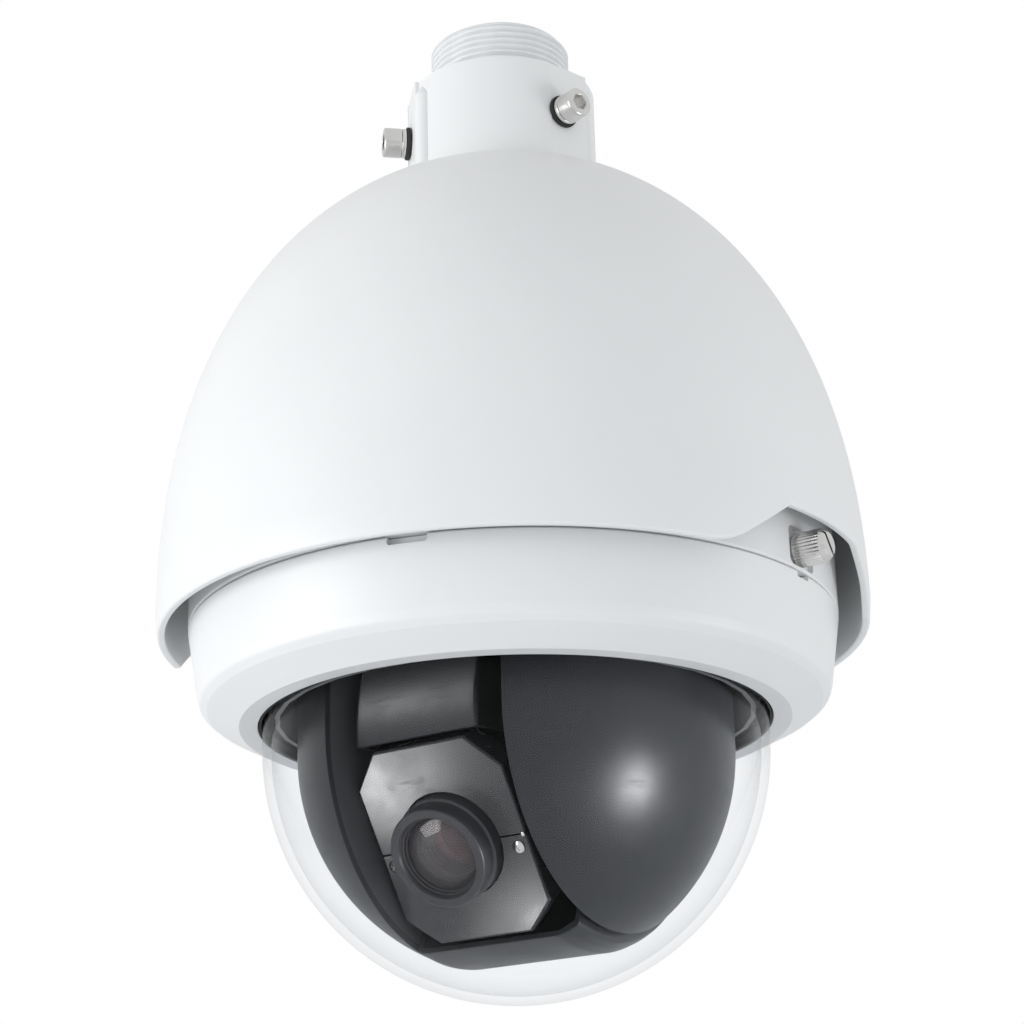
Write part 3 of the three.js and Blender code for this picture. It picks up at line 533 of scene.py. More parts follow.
def coated_glass(name, tint, sheen):
    """Anti-reflection coated glass over a dark interior: a coloured mirror image."""
    look = Look(name)
    drift = look.spread(look.noise(90, 2), 0.3, 0.7, 0, 1)
    inner = look.mixed(drift, colour(*tint), colour(*[0.7 * c for c in tint]))
    gloss = look.spread(look.noise(200, 4), 0.3, 0.7, 0.015, 0.05)
    wave = look.bump(look.noise(120, 2), 0.1, 0.01)
    body = look.add(
        "ShaderNodeBsdfPrincipled",
        Base_Color=inner,
        Roughness=gloss,
        Normal=wave,
        IOR=1.55,
        Coat_Weight=0.6,
        Coat_Roughness=0.03,
        Coat_Tint=colour(*sheen),
    )
    mirror = look.add(
        "ShaderNodeBsdfGlossy", Color=colour(*sheen), Roughness=gloss, Normal=wave
    )
    edge = look.add("ShaderNodeFresnel", IOR=1.6, Normal=wave)
    both = look.add("ShaderNodeMixShader")
    look.set(both.inputs[0], edge.outputs["Fac"])
    look.set(both.inputs[1], body.outputs[0])
    look.set(both.inputs[2], mirror.outputs[0])
    return look.surface(both.outputs[0])


def circuit(name):
    """Green board: copper traces under the mask, and pale pads."""
    look = Look(name)
    lines = look.add(
        "ShaderNodeTexBrick",
        {"offset": 0.37},
        Vector=look.place,
        Scale=120.0,
        Mortar_Size=0.04,
        Color1=colour(0.02, 0.15, 0.06),
        Color2=colour(0.015, 0.11, 0.045),
        Mortar=colour(0.05, 0.26, 0.1),
    )
    pads = look.spots(260, 0.12)
    tint = look.mixed(pads, lines.outputs["Color"], colour(0.55, 0.5, 0.35))
    gloss = look.spread(look.noise(80, 4), 0.3, 0.7, 0.3, 0.5)
    normal = look.bump(lines.outputs["Fac"], 0.5, 0.03)
    shader = look.add(
        "ShaderNodeBsdfPrincipled", Base_Color=tint, Roughness=gloss, Normal=normal
    )
    return look.surface(shader.outputs["BSDF"])


WHITE = coated("white_powder_coat", (0.83, 0.84, 0.845), (0.81, 0.82, 0.826), 0.4)
DARK = coated(
    "charcoal_plastic", (0.024, 0.025, 0.028), (0.020, 0.021, 0.024), 0.36, 3200, 0.003, 0.4
)
FACE = coated(
    "charcoal_face_plate", (0.028, 0.029, 0.032), (0.024, 0.025, 0.028), 0.24, 3200, 0.0015, 0.4
)
INNER_DARK = coated(
    "charcoal_smooth_plastic",
    (0.018, 0.019, 0.022),
    (0.014, 0.015, 0.018),
    0.40,
    3200,
    0.004,
    0.15,
)
BLACK = coated(
    "black_plastic", (0.006, 0.006, 0.007), (0.009, 0.009, 0.010), 0.46, 2000, 0.01, 0.15
)
TUBE = coated(
    "lens_tube_anodising", (0.055, 0.055, 0.06), (0.045, 0.045, 0.05), 0.32, 2600, 0.004
)
# Painted light: the slot wall is the ball's charcoal moulding, given a much lighter base colour that stands
# in for the light its shadowed place doesn't get.
PAINTED_LIGHT_WALL = coated(
    "slot_wall_painted_light", (0.105, 0.108, 0.115), (0.092, 0.095, 0.101), 0.42, 3200, 0.003, 0.4
)
# Painted shade: the dome baffle gets a mid grey for the shade it lies in, not a colour of its own.
PAINTED_SHADE_BAFFLE = coated("baffle_painted_shade", (0.20, 0.205, 0.21), (0.18, 0.185, 0.19), 0.5, 1500, 0.02)
RUBBER = coated(
    "black_rubber", (0.013, 0.013, 0.013), (0.022, 0.022, 0.022), 0.72, 900, 0.03
)
MOTOR = coated(
    "motor_paint", (0.018, 0.018, 0.02), (0.026, 0.026, 0.028), 0.36, 1100, 0.02
)
STEEL = metal("stainless_steel", (0.80, 0.79, 0.77), (0.72, 0.71, 0.69), 0.17, depth=0.002)
TURNED = metal(
    "turned_steel",
    (0.80, 0.79, 0.77),
    (0.70, 0.69, 0.67),
    0.16,
    line_scale=1500,
    depth=0.0015,
)
ALUMINIUM = metal(
    "machined_aluminium", (0.66, 0.67, 0.68), (0.56, 0.57, 0.58), 0.38, (1, 12, 1)
)
CLEAR = clear_shell(
    "clear_polycarbonate", (0.987, 0.991, 0.995), (0.97, 0.978, 0.985), (0.003, 0.6), (0.0008, 0.08)
)
FRONT = clear_shell(
    "front_lens_coating", (0.66, 0.56, 0.57), (0.58, 0.49, 0.5), (0.03, 0.5), (0.05, 0.12)
)
OPTIC = coated_glass("coated_lens", (0.26, 0.15, 0.155), (0.45, 0.27, 0.28))
BOARD = circuit("circuit_board")


# ---- neck ----


def thread_adaptor():
    """A pipe thread of 2.309 mm pitch over a plain spigot, with a real helix."""
    root, crest, pitch, low, high = 22.5, 23.9, 2.309, 223.2, 241.9
    columns = SEGMENTS
    rows = int((high - low) / pitch * 14)
    verts = []
    for i in range(columns):
        turn = i / columns
        profile = [(19, 199.5), (25.2, 199.5), (25.5, 199.8), (25.5, 222.3)]
        profile += [(25.2, 222.6), (root, 222.6), (root, low - 0.1)]
        for k in range(rows + 1):
            z = low + (high - low) * k / rows
            wave = math.cos(math.tau * (z / pitch - turn))
            ridge = min(1, max(0, 0.5 + 0.72 * wave))
            ridge = ridge * ridge * (3 - 2 * ridge)
            fade = min(1, (z - low) / 1.2, (high - z) / 0.7)
            profile.append((root + (crest - root) * ridge * fade, z))
        profile += [(root - 0.5, 242.5), (19.5, 242.5), (19, 242)]
        angle = math.tau * turn
        verts += [(r * math.cos(angle), r * math.sin(angle), z) for r, z in profile]
    faces = grid_faces(columns, len(profile), True, True)
    made = shape("thread", verts, faces)
    piece(made, "pipe_thread", "housing", WHITE, ["thread_adaptor"], 50)


def neck_collar():
    """A turned collar with a flat and a bead at each clamp screw."""
    radius, reach, left, right = 32.2, 31.6, -4.7, 11.6
    outline = []
    for k, azimuth in enumerate(COLLAR_SCREW_AZIMUTHS):
        start = azimuth + math.degrees(math.asin(right / radius))
        end = azimuth + 120 + math.degrees(math.asin(left / radius))
        angle = math.radians(azimuth)
        for t, d, fillet in ((left, reach, 0.0), (right, reach, 0.5)):
            x = t * math.cos(angle) + d * math.sin(angle)
            y = t * math.sin(angle) - d * math.cos(angle)
            outline.append((x, y, fillet))
        steps = 40
        for i in range(steps + 1):
            outline.append((*toward(start + (end - start) * i / steps, radius), 0))
    collar = prism("collar", rounded(outline), 186, 223)
    bore = [(0, 180), (20.5, 180), (20.5, 199.2), (25.8, 199.2), (25.8, 230), (0, 230)]
    holes = [lathe("bore", bore, closed=False)]
    for azimuth in COLLAR_SCREW_AZIMUTHS:
        hole = [(0, 24), (3.3, 24), (3.3, 40), (0, 40)]
        holes.append(lathe("hole", hole, radial(azimuth, COLLAR_SCREW_HEIGHT), 48, False))
    collar = soften(carve(collar, *holes), 0.7, 50)
    beads = []
    for azimuth in COLLAR_SCREW_AZIMUTHS:
        bead = [(0, 186.5, 0), (3.6, 186.5, 0.5), (3.6, 217, 2.4), (1.2, 220.8, 1.2)]
        bead = rounded([*bead, (0, 221, 0)], closed=False)
        place = carried(azimuth + 24, 30.8)
        beads.append(lathe("bead", bead, place, 64, False))
    made = joined("collar", collar, *beads)
    piece(made, "collar", "housing", WHITE, ["neck_collar"], 30)


def collar_screw(number, azimuth):
    """A socket cap screw with its seal and its split spring washer."""
    place = radial(azimuth, COLLAR_SCREW_HEIGHT)
    turn = Matrix.Rotation(math.radians(17 + 41 * number), 4, "Z")
    end = 41.0
    head = rounded(
        [
            (0, 26.4, 0),
            (3, 26.4, 0.4),
            (3, 35, 0),
            (5, 35, 0.35),
            (5, end, 0.7),
            (2.9, end, 0.15),
            (2.9, end - 0.2, 0),
            (0, end - 0.2, 0),
        ],
        closed=False,
    )
    made = lathe("head", head, place @ turn, 96, False)
    hexagon = [toward(60 * k, 2.9) for k in range(6)]
    carve(made, prism("socket", hexagon, end - 3.2, end + 1, place @ turn))
    name = f"collar_screw_{number}"
    piece(made, f"cap_screw_{number}", "housing", TURNED, [name], 32)

    ring = rounded([(3.3, 31.9, 0.3), (5.6, 31.9, 0.3), (5.6, 33.3, 0.45), (3.3, 33.3, 0.3)])
    made = lathe("seal", ring, place, 72)
    node = f"collar_seal_washer_{number}"
    piece(made, f"seal_washer_{number}", "housing", RUBBER, [node])

    ring = rounded([(3.3, 33.4, 0.1), (5, 33.4, 0.25), (5, 34.9, 0.25), (3.3, 34.9, 0.1)])
    made = lathe("spring", ring, place, 72)
    lean = Matrix.Rotation(math.radians(20), 4, "Y")
    gap = block((-0.35, 0, 28), (0.35, 8, 40), place @ Matrix.Translation((11, 0, 0)) @ lean)
    carve(made, gap)
    node = f"collar_spring_washer_{number}"
    piece(made, f"spring_washer_{number}", "housing", STEEL, [node])


def shield_screw(number, azimuth):
    """A pan head with a cross recess."""
    low = shell_height(SHIELD, SHIELD_LAND["radius"]) + 0.1
    place = carried(azimuth, SHIELD_SCREW_RADIUS) @ Matrix.Rotation(0.5 + number, 4, "Z")
    head = rounded(
        [
            (0, low - 9, 0),
            (1.9, low - 9, 0.4),
            (1.9, low, 0),
            (4.1, low, 0.25),
            (4.1, low + 1.2, 0.8),
            (2.6, low + 2.5, 2.0),
            (0, low + 2.7, 0),
        ],
        closed=False,
    )
    made = lathe("head", head, place, 72, False)
    cross = [
        block((-1.9, -0.4, low + 1.3), (1.9, 0.4, low + 5), place),
        block((-0.4, -1.9, low + 1.3), (0.4, 1.9, low + 5), place),
    ]
    carve(made, *cross)
    name = f"shield_screw_{number}"
    piece(made, f"shield_fixing_{number}", "housing", TURNED, [name], 32)


# ---- shells ----


def shield_edge():
    """Columns of the shield as (azimuth, height of its lower edge)."""
    scale = math.radians(1) * SHIELD["radius"]
    low, top = SHIELD_LIP["height"], 43.8
    corners = [(-36, low, 0), (-23.5, low, 26), (-11, top, 2.2)]
    corners += [(11, top, 7), (23.5, low, 4), (36, low, 0)]
    path = rounded([(a * scale, h, f) for a, h, f in corners], closed=False, steps=10)
    columns = []
    for centre in NOTCH_AZIMUTHS:
        notch = []
        for (s0, h0), (s1, h1) in zip(path, path[1:]):
            parts = max(1, round((s1 - s0) / 2.4))
            for k in range(parts):
                share = k / parts
                notch.append((centre + (s0 + (s1 - s0) * share) / scale, h0 + (h1 - h0) * share))
        columns += notch
    plain = 1
    for a in range(0, 360, plain):
        apart = [abs((a - c + 180) % 360 - 180) for c in NOTCH_AZIMUTHS]
        if min(apart) >= 36:
            columns.append((a, low))
    return sorted((a % 360, h) for a, h in columns)


def sun_shield():
    """The outer shell: a superellipse that flares to its lip, flat round the neck."""
    lip, wall = SHIELD_LIP, SHIELD["wall"]
    core = inside(SHIELD)
    land = shell_height(SHIELD, SHIELD_LAND["radius"])
    merge = 54
    steps = 12
    arc = 44

    def outer_radius(z):
        if z >= SHIELD["waist"]:
            return shell_radius(SHIELD, z)
        share = (SHIELD["waist"] - z) / (SHIELD["waist"] - lip["height"])
        return SHIELD["radius"] - (SHIELD["radius"] - lip["radius"]) * share

    def inner_radius(z):
        if z >= core["waist"]:
            return shell_radius(core, z)
        return outer_radius(z) - wall

    upper = shell_arc(SHIELD, merge, SHIELD_LAND["radius"], arc)
    hole = SHIELD_LAND["hole"]
    under_end = shell_radius(core, land - wall - 2)
    lid = rounded(
        [
            (*upper[-2], 0),
            (SHIELD_LAND["radius"], land, 1.6),
            (hole, land, 0.6),
            (hole, land - wall, 0.6),
            (SHIELD_LAND["radius"], land - wall, 1.2),
            (*shell_arc(core, merge, under_end, 2)[-1], 0),
        ],
        closed=False,
    )
    under = shell_arc(core, merge, under_end, arc)
    crown = [*upper[1:-2], *lid, *reversed(under[1:-1])]
    verts = []
    columns = shield_edge()
    for azimuth, edge in columns:
        start = edge + lip["round"]
        heights = [start + (merge - start) * k / steps for k in range(steps + 1)]
        profile = []
        inner, outer = inner_radius(edge), outer_radius(edge)
        r = lip["round"]
        for k in range(ARC_STEPS):
            a = math.pi / 2 * (1 + k / ARC_STEPS)
            profile.append((inner + r + r * math.cos(a + math.pi / 2), start - r * math.sin(a - math.pi / 2)))
        for k in range(ARC_STEPS):
            a = math.pi / 2 * k / ARC_STEPS
            profile.append((outer - r + r * math.sin(a), start - r * math.cos(a)))
        profile += [(outer_radius(z), z) for z in heights]
        profile += crown
        profile += [(inner_radius(z), z) for z in reversed(heights[1:])]
        x, y = toward(azimuth, 1)
        verts += [(radius * x, radius * y, z) for radius, z in profile]
    faces = grid_faces(len(columns), len(profile), True, True)
    made = shape("shield", verts, faces)
    holes = []
    for azimuth in SHIELD_SCREW_AZIMUTHS:
        hole = [(0, land - 8), (2.2, land - 8), (2.2, land + 2), (0, land + 2)]
        holes.append(lathe("hole", hole, carried(azimuth, SHIELD_SCREW_RADIUS), 32, False))
    carve(made, *holes)
    piece(made, "shield", "housing", WHITE, ["sun_shield"], 35)


def upper_housing():
    """The pot under the shield, with a pocket and a hole for each thumbscrew."""
    core = inside(HOUSING)
    arc = 40
    outer = shell_arc(HOUSING, 45.001, 30, arc)
    inner = shell_arc(core, 56, 20.5, arc)
    profile = rounded([(core["radius"], 30.8, 0.3), (102.9, 30.8, 0.7), (*outer[0], 0)], False)
    profile = [(core["radius"], 30.8), *profile[1:], *outer[1:]]
    profile += [(30, 185.7), (20.5, 185.7), *reversed(inner)]
    profile += [(99.4, 55.8), (96, 51.8), (96, 47.8), (99.4, 47.8)]
    made = lathe("housing", profile)
    pockets = []
    for azimuth in NOTCH_AZIMUTHS:
        outline = [(-7.5, 31.8, 2), (7.5, 31.8, 2), (7.5, 44, 2), (-7.5, 44, 2)]
        place = radial(azimuth, 0)
        pockets.append(prism("pocket", rounded(outline), 100.9, 112, place))
        hole = [(0, 90), (2.3, 90), (2.3, 110), (0, 110)]
        pockets.append(lathe("hole", hole, radial(azimuth, THUMBSCREW_HEIGHT), 48, False))
    carve(made, *pockets)
    bosses = []
    for azimuth in SHIELD_SCREW_AZIMUTHS:
        boss = rounded([(2.2, 160, 0), (4, 160, 0), (4, 179, 0.4), (2.2, 179, 0.2)])
        bosses.append(lathe("boss", boss, carried(azimuth, SHIELD_SCREW_RADIUS), 48))
    made = joined("housing", made, *bosses)
    piece(made, "housing_shell", "housing", WHITE, ["upper_housing"], 30)


def thumbscrew(number, azimuth):
    """A knurled head with a bevelled face and a screwdriver slot."""
    place = radial(azimuth, THUMBSCREW_HEIGHT)
    ribs = 30
    rows = [
        (0, 93, 0),
        (1.7, 93, 0),
        (2, 93.3, 0),
        (2, 100.6, 0),
        (3.6, 100.7, 0),
        (3.6, 101.3, 0),
        (4.6, 101.4, 0.3),
        (5.2, 102.0, 1),
        (5.2, 110.2, 1),
        (4.75, 110.8, 0.35),
        (4.6, 110.9, 0),
        (4.5, 111.2, 0),
        (3.7, 112, 0),
        (0, 112, 0),
    ]
    columns = ribs * 8
    verts = []
    for i in range(columns):
        angle = math.tau * i / columns
        dip = 0.32 * (0.5 - 0.5 * math.cos(ribs * angle))
        for r, z, share in rows:
            radius = max(0, r - dip * share)
            verts.append((radius * math.cos(angle), radius * math.sin(angle), z))
    made = shape("screw", verts, grid_faces(columns, len(rows), True, False), place)
    turn = Matrix.Rotation(math.radians(40), 4, "Z")
    carve(made, block((-0.55, -8, 110.3), (0.55, 8, 114), place @ turn))
    name = f"thumbscrew_{number}"
    piece(made, f"knurled_screw_{number}", name, TURNED, [name], 32)


# ---- dome ----


def dome_ring():
    """The lower ring, with the pry slots in its upper edge."""
    profile = rounded(
        [
            (80.6, 0, 0.35),
            (86.5, 0, 0.6),
            (96.4, 5, 1.2),
            (98.9, 7, 2.4),
            (99.6, 9.6, 6),
            (102.9, 30.5, 0.7),
            (99, 30.5, 0),
            (99, 45, 0.4),
            (96.4, 45, 0.4),
            (96.4, 12, 1),
            (94.5, 7, 0),
            (89.8, 7, 0),
            (89.8, 3, 0),
            (80.6, 3, 0.3),
        ]
    )
    made = lathe("ring", profile)
    slots = []
    sizes = ((-16.5, 12, 2.5), (163.5, 12, 2.5), (57, 7, 1.8), (-123, 7, 1.8))
    for azimuth, width, height in sizes:
        half, low = width / 2, 30.5 - height
        outline = [(-half, low, 0.8), (half, low, 0.8), (half, 32, 0), (-half, 32, 0)]
        slots.append(prism("slot", rounded(outline), 100, 110, radial(azimuth, 0)))
    for azimuth in NOTCH_AZIMUTHS:
        hole = [(0, 90), (2.3, 90), (2.3, 110), (0, 110)]
        slots.append(lathe("hole", hole, radial(azimuth, THUMBSCREW_HEIGHT), 32, False))
    carve(made, *slots)
    piece(made, "lower_ring", "housing", WHITE, ["dome_ring"], 30)


def dome_window():
    """The clear dome with its rim, and the seal round the opening."""
    steps = 72
    outer = circle_arc(79.2, -6.2, -90, 0, steps)
    inner = circle_arc(76.4, -6.2, 0, -90, steps)
    collar = [(79.2, 4.2), (89.5, 4.2), (89.5, 6.8), (76.4, 6.8)]
    made = lathe("window", [*outer, *collar, *inner], closed=False)
    piece(made, "clear_dome", "housing", CLEAR, ["dome_bubble"], 40)

    seal = [(79.5, 0.3, 0.25), (80.3, 0.3, 0.25), (80.3, 3.3, 0)]
    seal += [(89.2, 3.3, 0), (89.2, 3.9, 0), (79.5, 3.9, 0)]
    made = lathe("seal", rounded(seal))
    piece(made, "dome_seal", "housing", RUBBER, ["dome_gasket"])


# ---- pan head ----


def bowl_outline(radius, top, fillet):
    """A half circle about the ball's centre, carried straight up to a height."""
    outline = [(-radius, top, fillet)]
    for k in range(61):
        angle = math.pi * (1 + k / 60)
        height = BALL["centre"] + radius * math.sin(angle)
        outline.append((radius * math.cos(angle), height, 0))
    return rounded([*outline, (radius, top, fillet)])


def slot_wall():
    """The flat wall that closes the left half of the ball beside the slot."""
    edge, axle_radius = -SLOT["left"] - 0.2, 11.5
    outline = bowl_outline(60.1, BALL["top"] - 1, 0)
    wall = prism("wall", outline, edge - 1.6, edge, HEAD @ ALONG_X)
    hole = [(0, -40), (axle_radius, -40), (axle_radius, -20), (0, -20)]
    carve(wall, lathe("hole", hole, BALL_CENTRE @ ALONG_X, 64, False))
    # The wall's lighter colour is painted light on the charcoal moulding.
    piece(wall, "slot_wall", "pan_head", PAINTED_LIGHT_WALL, sharp=30)


def cheek(word, side):
    """Half of the ball: a thin moulded shell, open on its inner side."""
    radius, centre, wall, top = (BALL[k] for k in ("radius", "centre", "wall", "top"))
    steps = 56
    core = radius - wall
    profile = circle_arc(radius, centre, -90, 0, steps)
    neck = [(radius, centre + 1, 0), (radius, top, 0.5), (core, top, 0.5), (core, centre + 1, 0)]
    profile += rounded(neck, False)
    profile += circle_arc(core, centre, 0, -90, steps)
    made = lathe("cheek", profile, HEAD, closed=False)
    near, far = (SLOT["right"], 90) if side > 0 else (-90, -SLOT["left"])
    boolean(made, "INTERSECT", block((near, -90, -90), (far, 90, 90), HEAD))
    soften(made, 0.45, 50)
    name = f"cheek_{word}"
    piece(made, f"ball_{word}", "pan_head", DARK, [name], 30)

    low, high = (34.2, 36.7) if side > 0 else (-36.7, -34.2)
    arm = prism("arm", bowl_outline(56.2, top, 1), low, high, HEAD @ ALONG_X, bevel=0.4)
    axle_radius = 6.3
    hole = [(0, -80), (axle_radius, -80), (axle_radius, 80), (0, 80)]
    carve(arm, lathe("hole", hole, BALL_CENTRE @ ALONG_X, 48, False))
    name = f"yoke_arm_{word}"
    piece(arm, f"inner_wall_{word}", "pan_head", INNER_DARK, [name], 30)


# ---- tilting camera ----


def curved_cover(name, node, radius, left, right, core, start, end):
    """A hood round the tilt axis: a curved wall between two flat sides, kept inside the ball."""
    wall, corner, count = 1.8, 2.2, 16
    r = radius - wall
    crown = []
    for k in range(count + 1):
        x = left + (right - left) * k / count
        limit = math.sqrt(BALL_LIMIT**2 - x * x)
        crown.append((x, min(radius, limit), corner if k in (0, count) else 6))
    section = rounded(
        [
            (left, core, 0.5),
            *crown,
            (right, core, 0.5),
            (right - wall, core, 0.5),
            (right - wall, min(r, crown[-1][1] - wall), 1),
            (right - wall - 5, r, 1),
            (left + wall, r, 1),
            (left + wall, core, 0.5),
        ]
    )
    steps = 110
    made = swept(name, section, start, end, steps, EYE)
    soften(made, 0.35, 60, 2)
    piece(made, name, "camera", DARK, [node], 30)


FACE_OUTLINE = [
    (-16.3, 23.9, 1.2),
    (-26, 13, 1.2),
    (-26, -30.3, 1.2),
    (-16.3, -39.1, 1.2),
    (16.3, -39.1, 1.2),
    (26, -30.3, 1.2),
    (26, 13, 1.2),
    (16.3, 23.9, 1.2),
]


def front_cover(word, node, low, high):
    """Half of the octagonal front plate, split on the lens axis."""
    place = EYE @ TO_FRONT
    made = prism("face", rounded(FACE_OUTLINE), 40, 49.5, place, bevel=0.9)
    core = [(x * 24 / 26, -7.6 + (y + 7.6) * 29.5 / 31.5) for x, y, _ in FACE_OUTLINE]
    hole = [(0, 30), (16.8, 30), (16.8, 60), (0, 60)]
    cuts = [
        prism("core", core, 30, 47.3, place),
        lathe("hole", hole, LENS, 128, False),
        block((-60, low, 20), (60, high, 80), place),
    ]
    carve(made, *cuts)
    soften(made, 0.22, 50, 2)
    piece(made, f"face_{word}", "camera", FACE, [node], 30)


def face_screw(word, x):
    """A small pan head with a cross recess, in the lower plate."""
    place = EYE @ TO_FRONT @ Matrix.Translation((x, -12.2, 0))
    place = place @ Matrix.Rotation(0.35 if x > 0 else -0.6, 4, "Z")
    head = [
        (0, 43.6, 0),
        (1.1, 43.6, 0.2),
        (1.1, 49.6, 0),
        (2, 49.6, 0.12),
        (2, 50.1, 0.4),
        (1.1, 50.6, 1),
        (0, 50.7, 0),
    ]
    made = lathe("head", rounded(head, False), place, 48, False)
    carve(
        made,
        block((-1.05, -0.2, 50.0), (1.05, 0.2, 52), place),
        block((-0.2, -1.05, 50.0), (0.2, 1.05, 52), place),
    )
    node = f"cover_screw_{word}"
    piece(made, f"face_screw_{word}", "camera", STEEL, [node], 32)


def face_pin():
    """The small pin at the end of the split line."""
    place = EYE @ TO_FRONT @ Matrix.Translation((24.9, -8.6, 0))
    pin = rounded([(0, 47, 0), (0.75, 47, 0.1), (0.75, 50, 0.35), (0, 50.05, 0)], False)
    made = lathe("pin", pin, place, 32, False)
    piece(made, "face_pin", "camera", STEEL)


def lens():
    """The lens tube with its stepped mouth, the front lens and the coated lens before it."""
    ridges = []
    count = 6
    for k in range(count):
        r0 = 12.5 - 2.7 * k / count
        z0 = 58.4 - 6.9 * k / count
        ridges += [(r0, z0), (r0 - 0.12, z0 - 0.85)]
    outer = [
        (9.6, 46.9, 0),
        (16.4, 46.9, 0),
        (16.4, 53, 0.3),
        (15.6, 53.6, 0.3),
        (15.6, 59.5, 0.7),
        (12.9, 59.5, 0.5),
        (12.6, 58.6, 0),
    ]
    made = lathe("barrel", [*rounded(outer, False), *ridges, (9.6, 51.4)], LENS)
    piece(made, "lens_tube", "camera", TUBE, ["lens_barrel"], 28)

    reach, curve, tip = 9.3, 17.5, 52.1
    front = [(0, 47.2), (reach, 47.2), (reach, 49.6)]
    rim = math.degrees(math.asin(reach / curve))
    for k in range(25):
        angle = math.radians(rim * (1 - k / 24))
        front.append((curve * math.sin(angle), tip - curve + curve * math.cos(angle)))
    front[-1] = (0, tip)
    made = lathe("glass", front, LENS, closed=False)
    piece(made, "front_element", "camera", OPTIC, ["front_glass"], 40)

    reach, curve, tip, thick = 11.9, 26, 58.4, 0.8
    rim = math.degrees(math.asin(reach / curve))
    outer = circle_arc(curve, tip - curve, 90 - rim, 90, 24)
    inner = circle_arc(curve, tip - thick - curve, 90, 90 - rim, 24)
    made = lathe("meniscus", [*outer, *inner], LENS, 96, True)
    piece(made, "outer_element", "camera", FRONT, sharp=40)


def build():
    thread_adaptor()
    neck_collar()
    for i, azimuth in enumerate(COLLAR_SCREW_AZIMUTHS):
        collar_screw(i + 1, azimuth)
    for i, azimuth in enumerate(SHIELD_SCREW_AZIMUTHS):
        shield_screw(i + 1, azimuth)
    sun_shield()
    upper_housing()
    for i, azimuth in enumerate(NOTCH_AZIMUTHS):
        thumbscrew(i + 1, azimuth)
    dome_ring()
    dome_window()
    cheek("left", -1)
    cheek("right", 1)
    slot_wall()
    curved_cover("hood", "drum_hood", 55, -22, 22, 24, 28, 112)
    curved_cover("drum", "tilt_drum", 64.2, -26.4, 31, 12, -165, -40.3)
    front_cover("upper", "front_cover_upper", -80, -8.3)
    front_cover("lower", "front_cover_lower", -8.7, 80)
    face_screw("left", -22.2)
    face_screw("right", 22.2)
    face_pin()
    lens()


SLOT_LOOKS = {
    "white_paint": WHITE,
    "stainless": STEEL,
    "dark_abs": DARK,
    "black_abs": BLACK,
    "rubber": RUBBER,
    "clear_dome": CLEAR,
    "lens_glass": OPTIC,
    "aluminium": ALUMINIUM,
    "circuit_board": BOARD,
    "motor_black": MOTOR,
}
# The baffle's grey is painted shade.
NODE_LOOKS = {"dome_baffle": PAINTED_SHADE_BAFFLE}


def dress_nodes():
    """Gives every CAD node that still shows a finish of its own slot."""
    slots = {p["node"]: p["material_slot"] for p in frame["record"]["subparts"]}
    for name, node in frame["nodes"].items():
        node.data.materials.clear()
        node.data.materials.append(NODE_LOOKS.get(name, SLOT_LOOKS[slots[name]]))
        for polygon in node.data.polygons:
            polygon.use_smooth = True
        node.data.set_sharp_from_angle(angle=math.radians(32))


# ---- camera, floor and light ----


def add_camera():
    data = bpy.data.cameras.new("camera")
    data.sensor_width = 36
    data.lens = 82.47
    data.shift_y = 0.0073
    data.clip_start, data.clip_end = 0.05, 20
    made = bpy.data.objects.new("camera_view", data)
    bpy.context.scene.collection.objects.link(made)
    tilt = Matrix.Rotation(math.radians(110.05), 4, "X")
    roll = Matrix.Rotation(-0.0245, 4, "Z")
    made.matrix_world = Matrix.Translation((0.0004, -0.7149, -0.4334)) @ tilt @ roll
    bpy.context.scene.camera = made


def softbox(name, target, direction, distance, size, power, lit, shadow=True):
    """An oval lamp that faces a spot of the object and lights one collection."""
    data = bpy.data.lights.new(name, "AREA")
    data.shape = "ELLIPSE"
    data.size, data.size_y = size
    data.energy = power
    data.use_shadow = shadow
    made = bpy.data.objects.new(name, data)
    bpy.context.scene.collection.objects.link(made)
    out = Vector(direction).normalized()
    made.location = Vector(target) + out * distance
    made.rotation_euler = out.to_track_quat("Z", "Y").to_euler()
    made.light_linking.receiver_collection = lit


def lit_by(name, wanted):
    """A collection of the meshes that a lamp lights."""
    made = bpy.data.collections.new(name)
    for obj in bpy.context.scene.objects:
        if obj.type == "MESH" and wanted(obj):
            made.objects.link(obj)
    return made


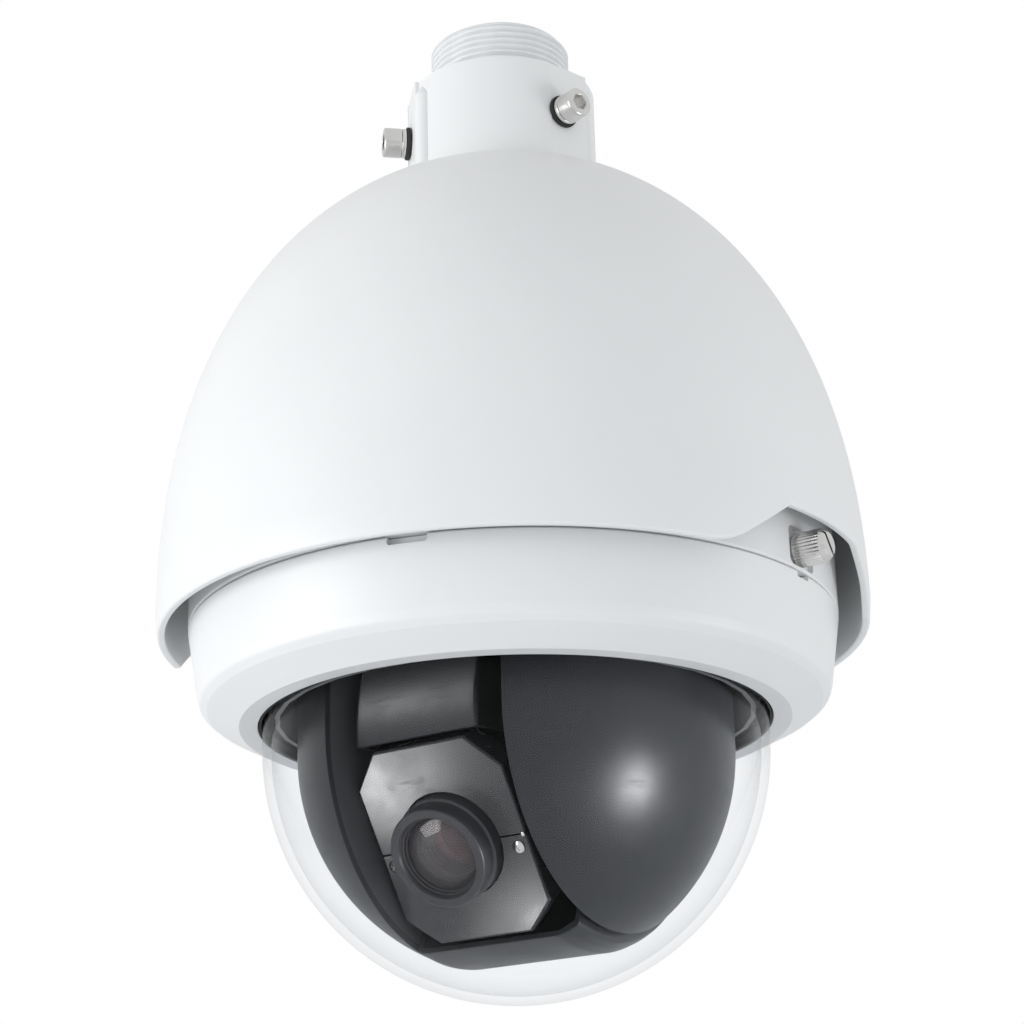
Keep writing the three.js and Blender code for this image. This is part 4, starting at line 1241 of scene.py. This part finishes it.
def add_light():
    """A broad lamp on the left, a weaker one on the right, and small ones on the dark parts."""
    looks = (DARK, FACE, INNER_DARK, BLACK, OPTIC, TUBE)

    def is_dark(obj):
        return obj.data.materials[0] in looks

    pale = lit_by("lit_by_broad", lambda obj: obj.name != "clear_dome" and not is_dark(obj))
    dark = lit_by("lit_by_small", is_dark)
    face = lit_by("lit_by_glow", lambda obj: obj.data.materials[0] is FACE)
    middle = (0, 0, -0.22)
    softbox("key_left", middle, (-0.90, -0.38, -0.12), 1.5, (0.9, 0.9), 11.0, pale)
    softbox("key_right", middle, (0.885, -0.32, -0.31), 1.3, (0.5, 0.5), 3.6, pale)
    softbox("low_front", middle, (0.08, -0.70, -0.70), 1.3, (0.5, 0.5), 1.2, pale)
    ball, plate, rim = (0.034, -0.054, -0.275), (-0.039, -0.032, -0.268), (0.005, -0.027, -0.309)
    softbox("ball_glow", ball, (0.873, -0.348, -0.343), 0.9, (0.24, 0.28), 8.0, dark)
    softbox("plate_glow", plate, (-0.757, -0.12, -0.643), 0.2, (0.02, 0.02), 0.08, face, False)
    softbox("rim_glow", rim, (-0.699, -0.115, -0.706), 0.2, (0.02, 0.02), 0.04, face, False)
    hood = lit_by("lit_by_hood_glow", lambda obj: obj.name == "hood")
    front = (-0.027, -0.048, -0.246)
    softbox("hood_glow", front, (-0.858, -0.315, 0.405), 0.25, (0.08, 0.05), 0.16, hood, False)
    world = bpy.data.worlds.new("studio")
    bpy.context.scene.world = world
    world.use_nodes = True
    tree = world.node_tree
    tree.nodes.clear()
    out = tree.nodes.new("ShaderNodeOutputWorld")
    mix = tree.nodes.new("ShaderNodeMixShader")
    path = tree.nodes.new("ShaderNodeLightPath")
    room = tree.nodes.new("ShaderNodeBackground")
    room.inputs["Color"].default_value = (0.975, 0.987, 1.0, 1)
    room.inputs["Strength"].default_value = 0.74
    paper = tree.nodes.new("ShaderNodeBackground")
    paper.inputs["Color"].default_value = (1, 1, 1, 1)
    paper.inputs["Strength"].default_value = 1.0
    tree.links.new(path.outputs["Is Camera Ray"], mix.inputs[0])
    tree.links.new(room.outputs[0], mix.inputs[1])
    tree.links.new(paper.outputs[0], mix.inputs[2])
    tree.links.new(mix.outputs[0], out.inputs["Surface"])


def add_floor():
    mesh = bpy.data.meshes.new("floor")
    z, reach = -0.75, 4
    corners = [(-reach, -reach, z), (reach, -reach, z), (reach, reach, z), (-reach, reach, z)]
    mesh.from_pydata(corners, [], [(0, 1, 2, 3)])
    floor = bpy.data.objects.new("floor", mesh)
    bpy.context.scene.collection.objects.link(floor)
    look = Look("pale_floor")
    tint = look.mixed(look.noise(3, 4), colour(0.86, 0.87, 0.88), colour(0.82, 0.83, 0.84))
    gloss = look.spread(look.noise(20, 4), 0.3, 0.7, 0.5, 0.65)
    shader = look.add("ShaderNodeBsdfPrincipled", Base_Color=tint, Roughness=gloss)
    mesh.materials.append(look.surface(shader.outputs["BSDF"]))


add_camera()
build()
dress_nodes()
add_floor()
add_light()
bpy.context.scene.view_settings.view_transform = "Standard"
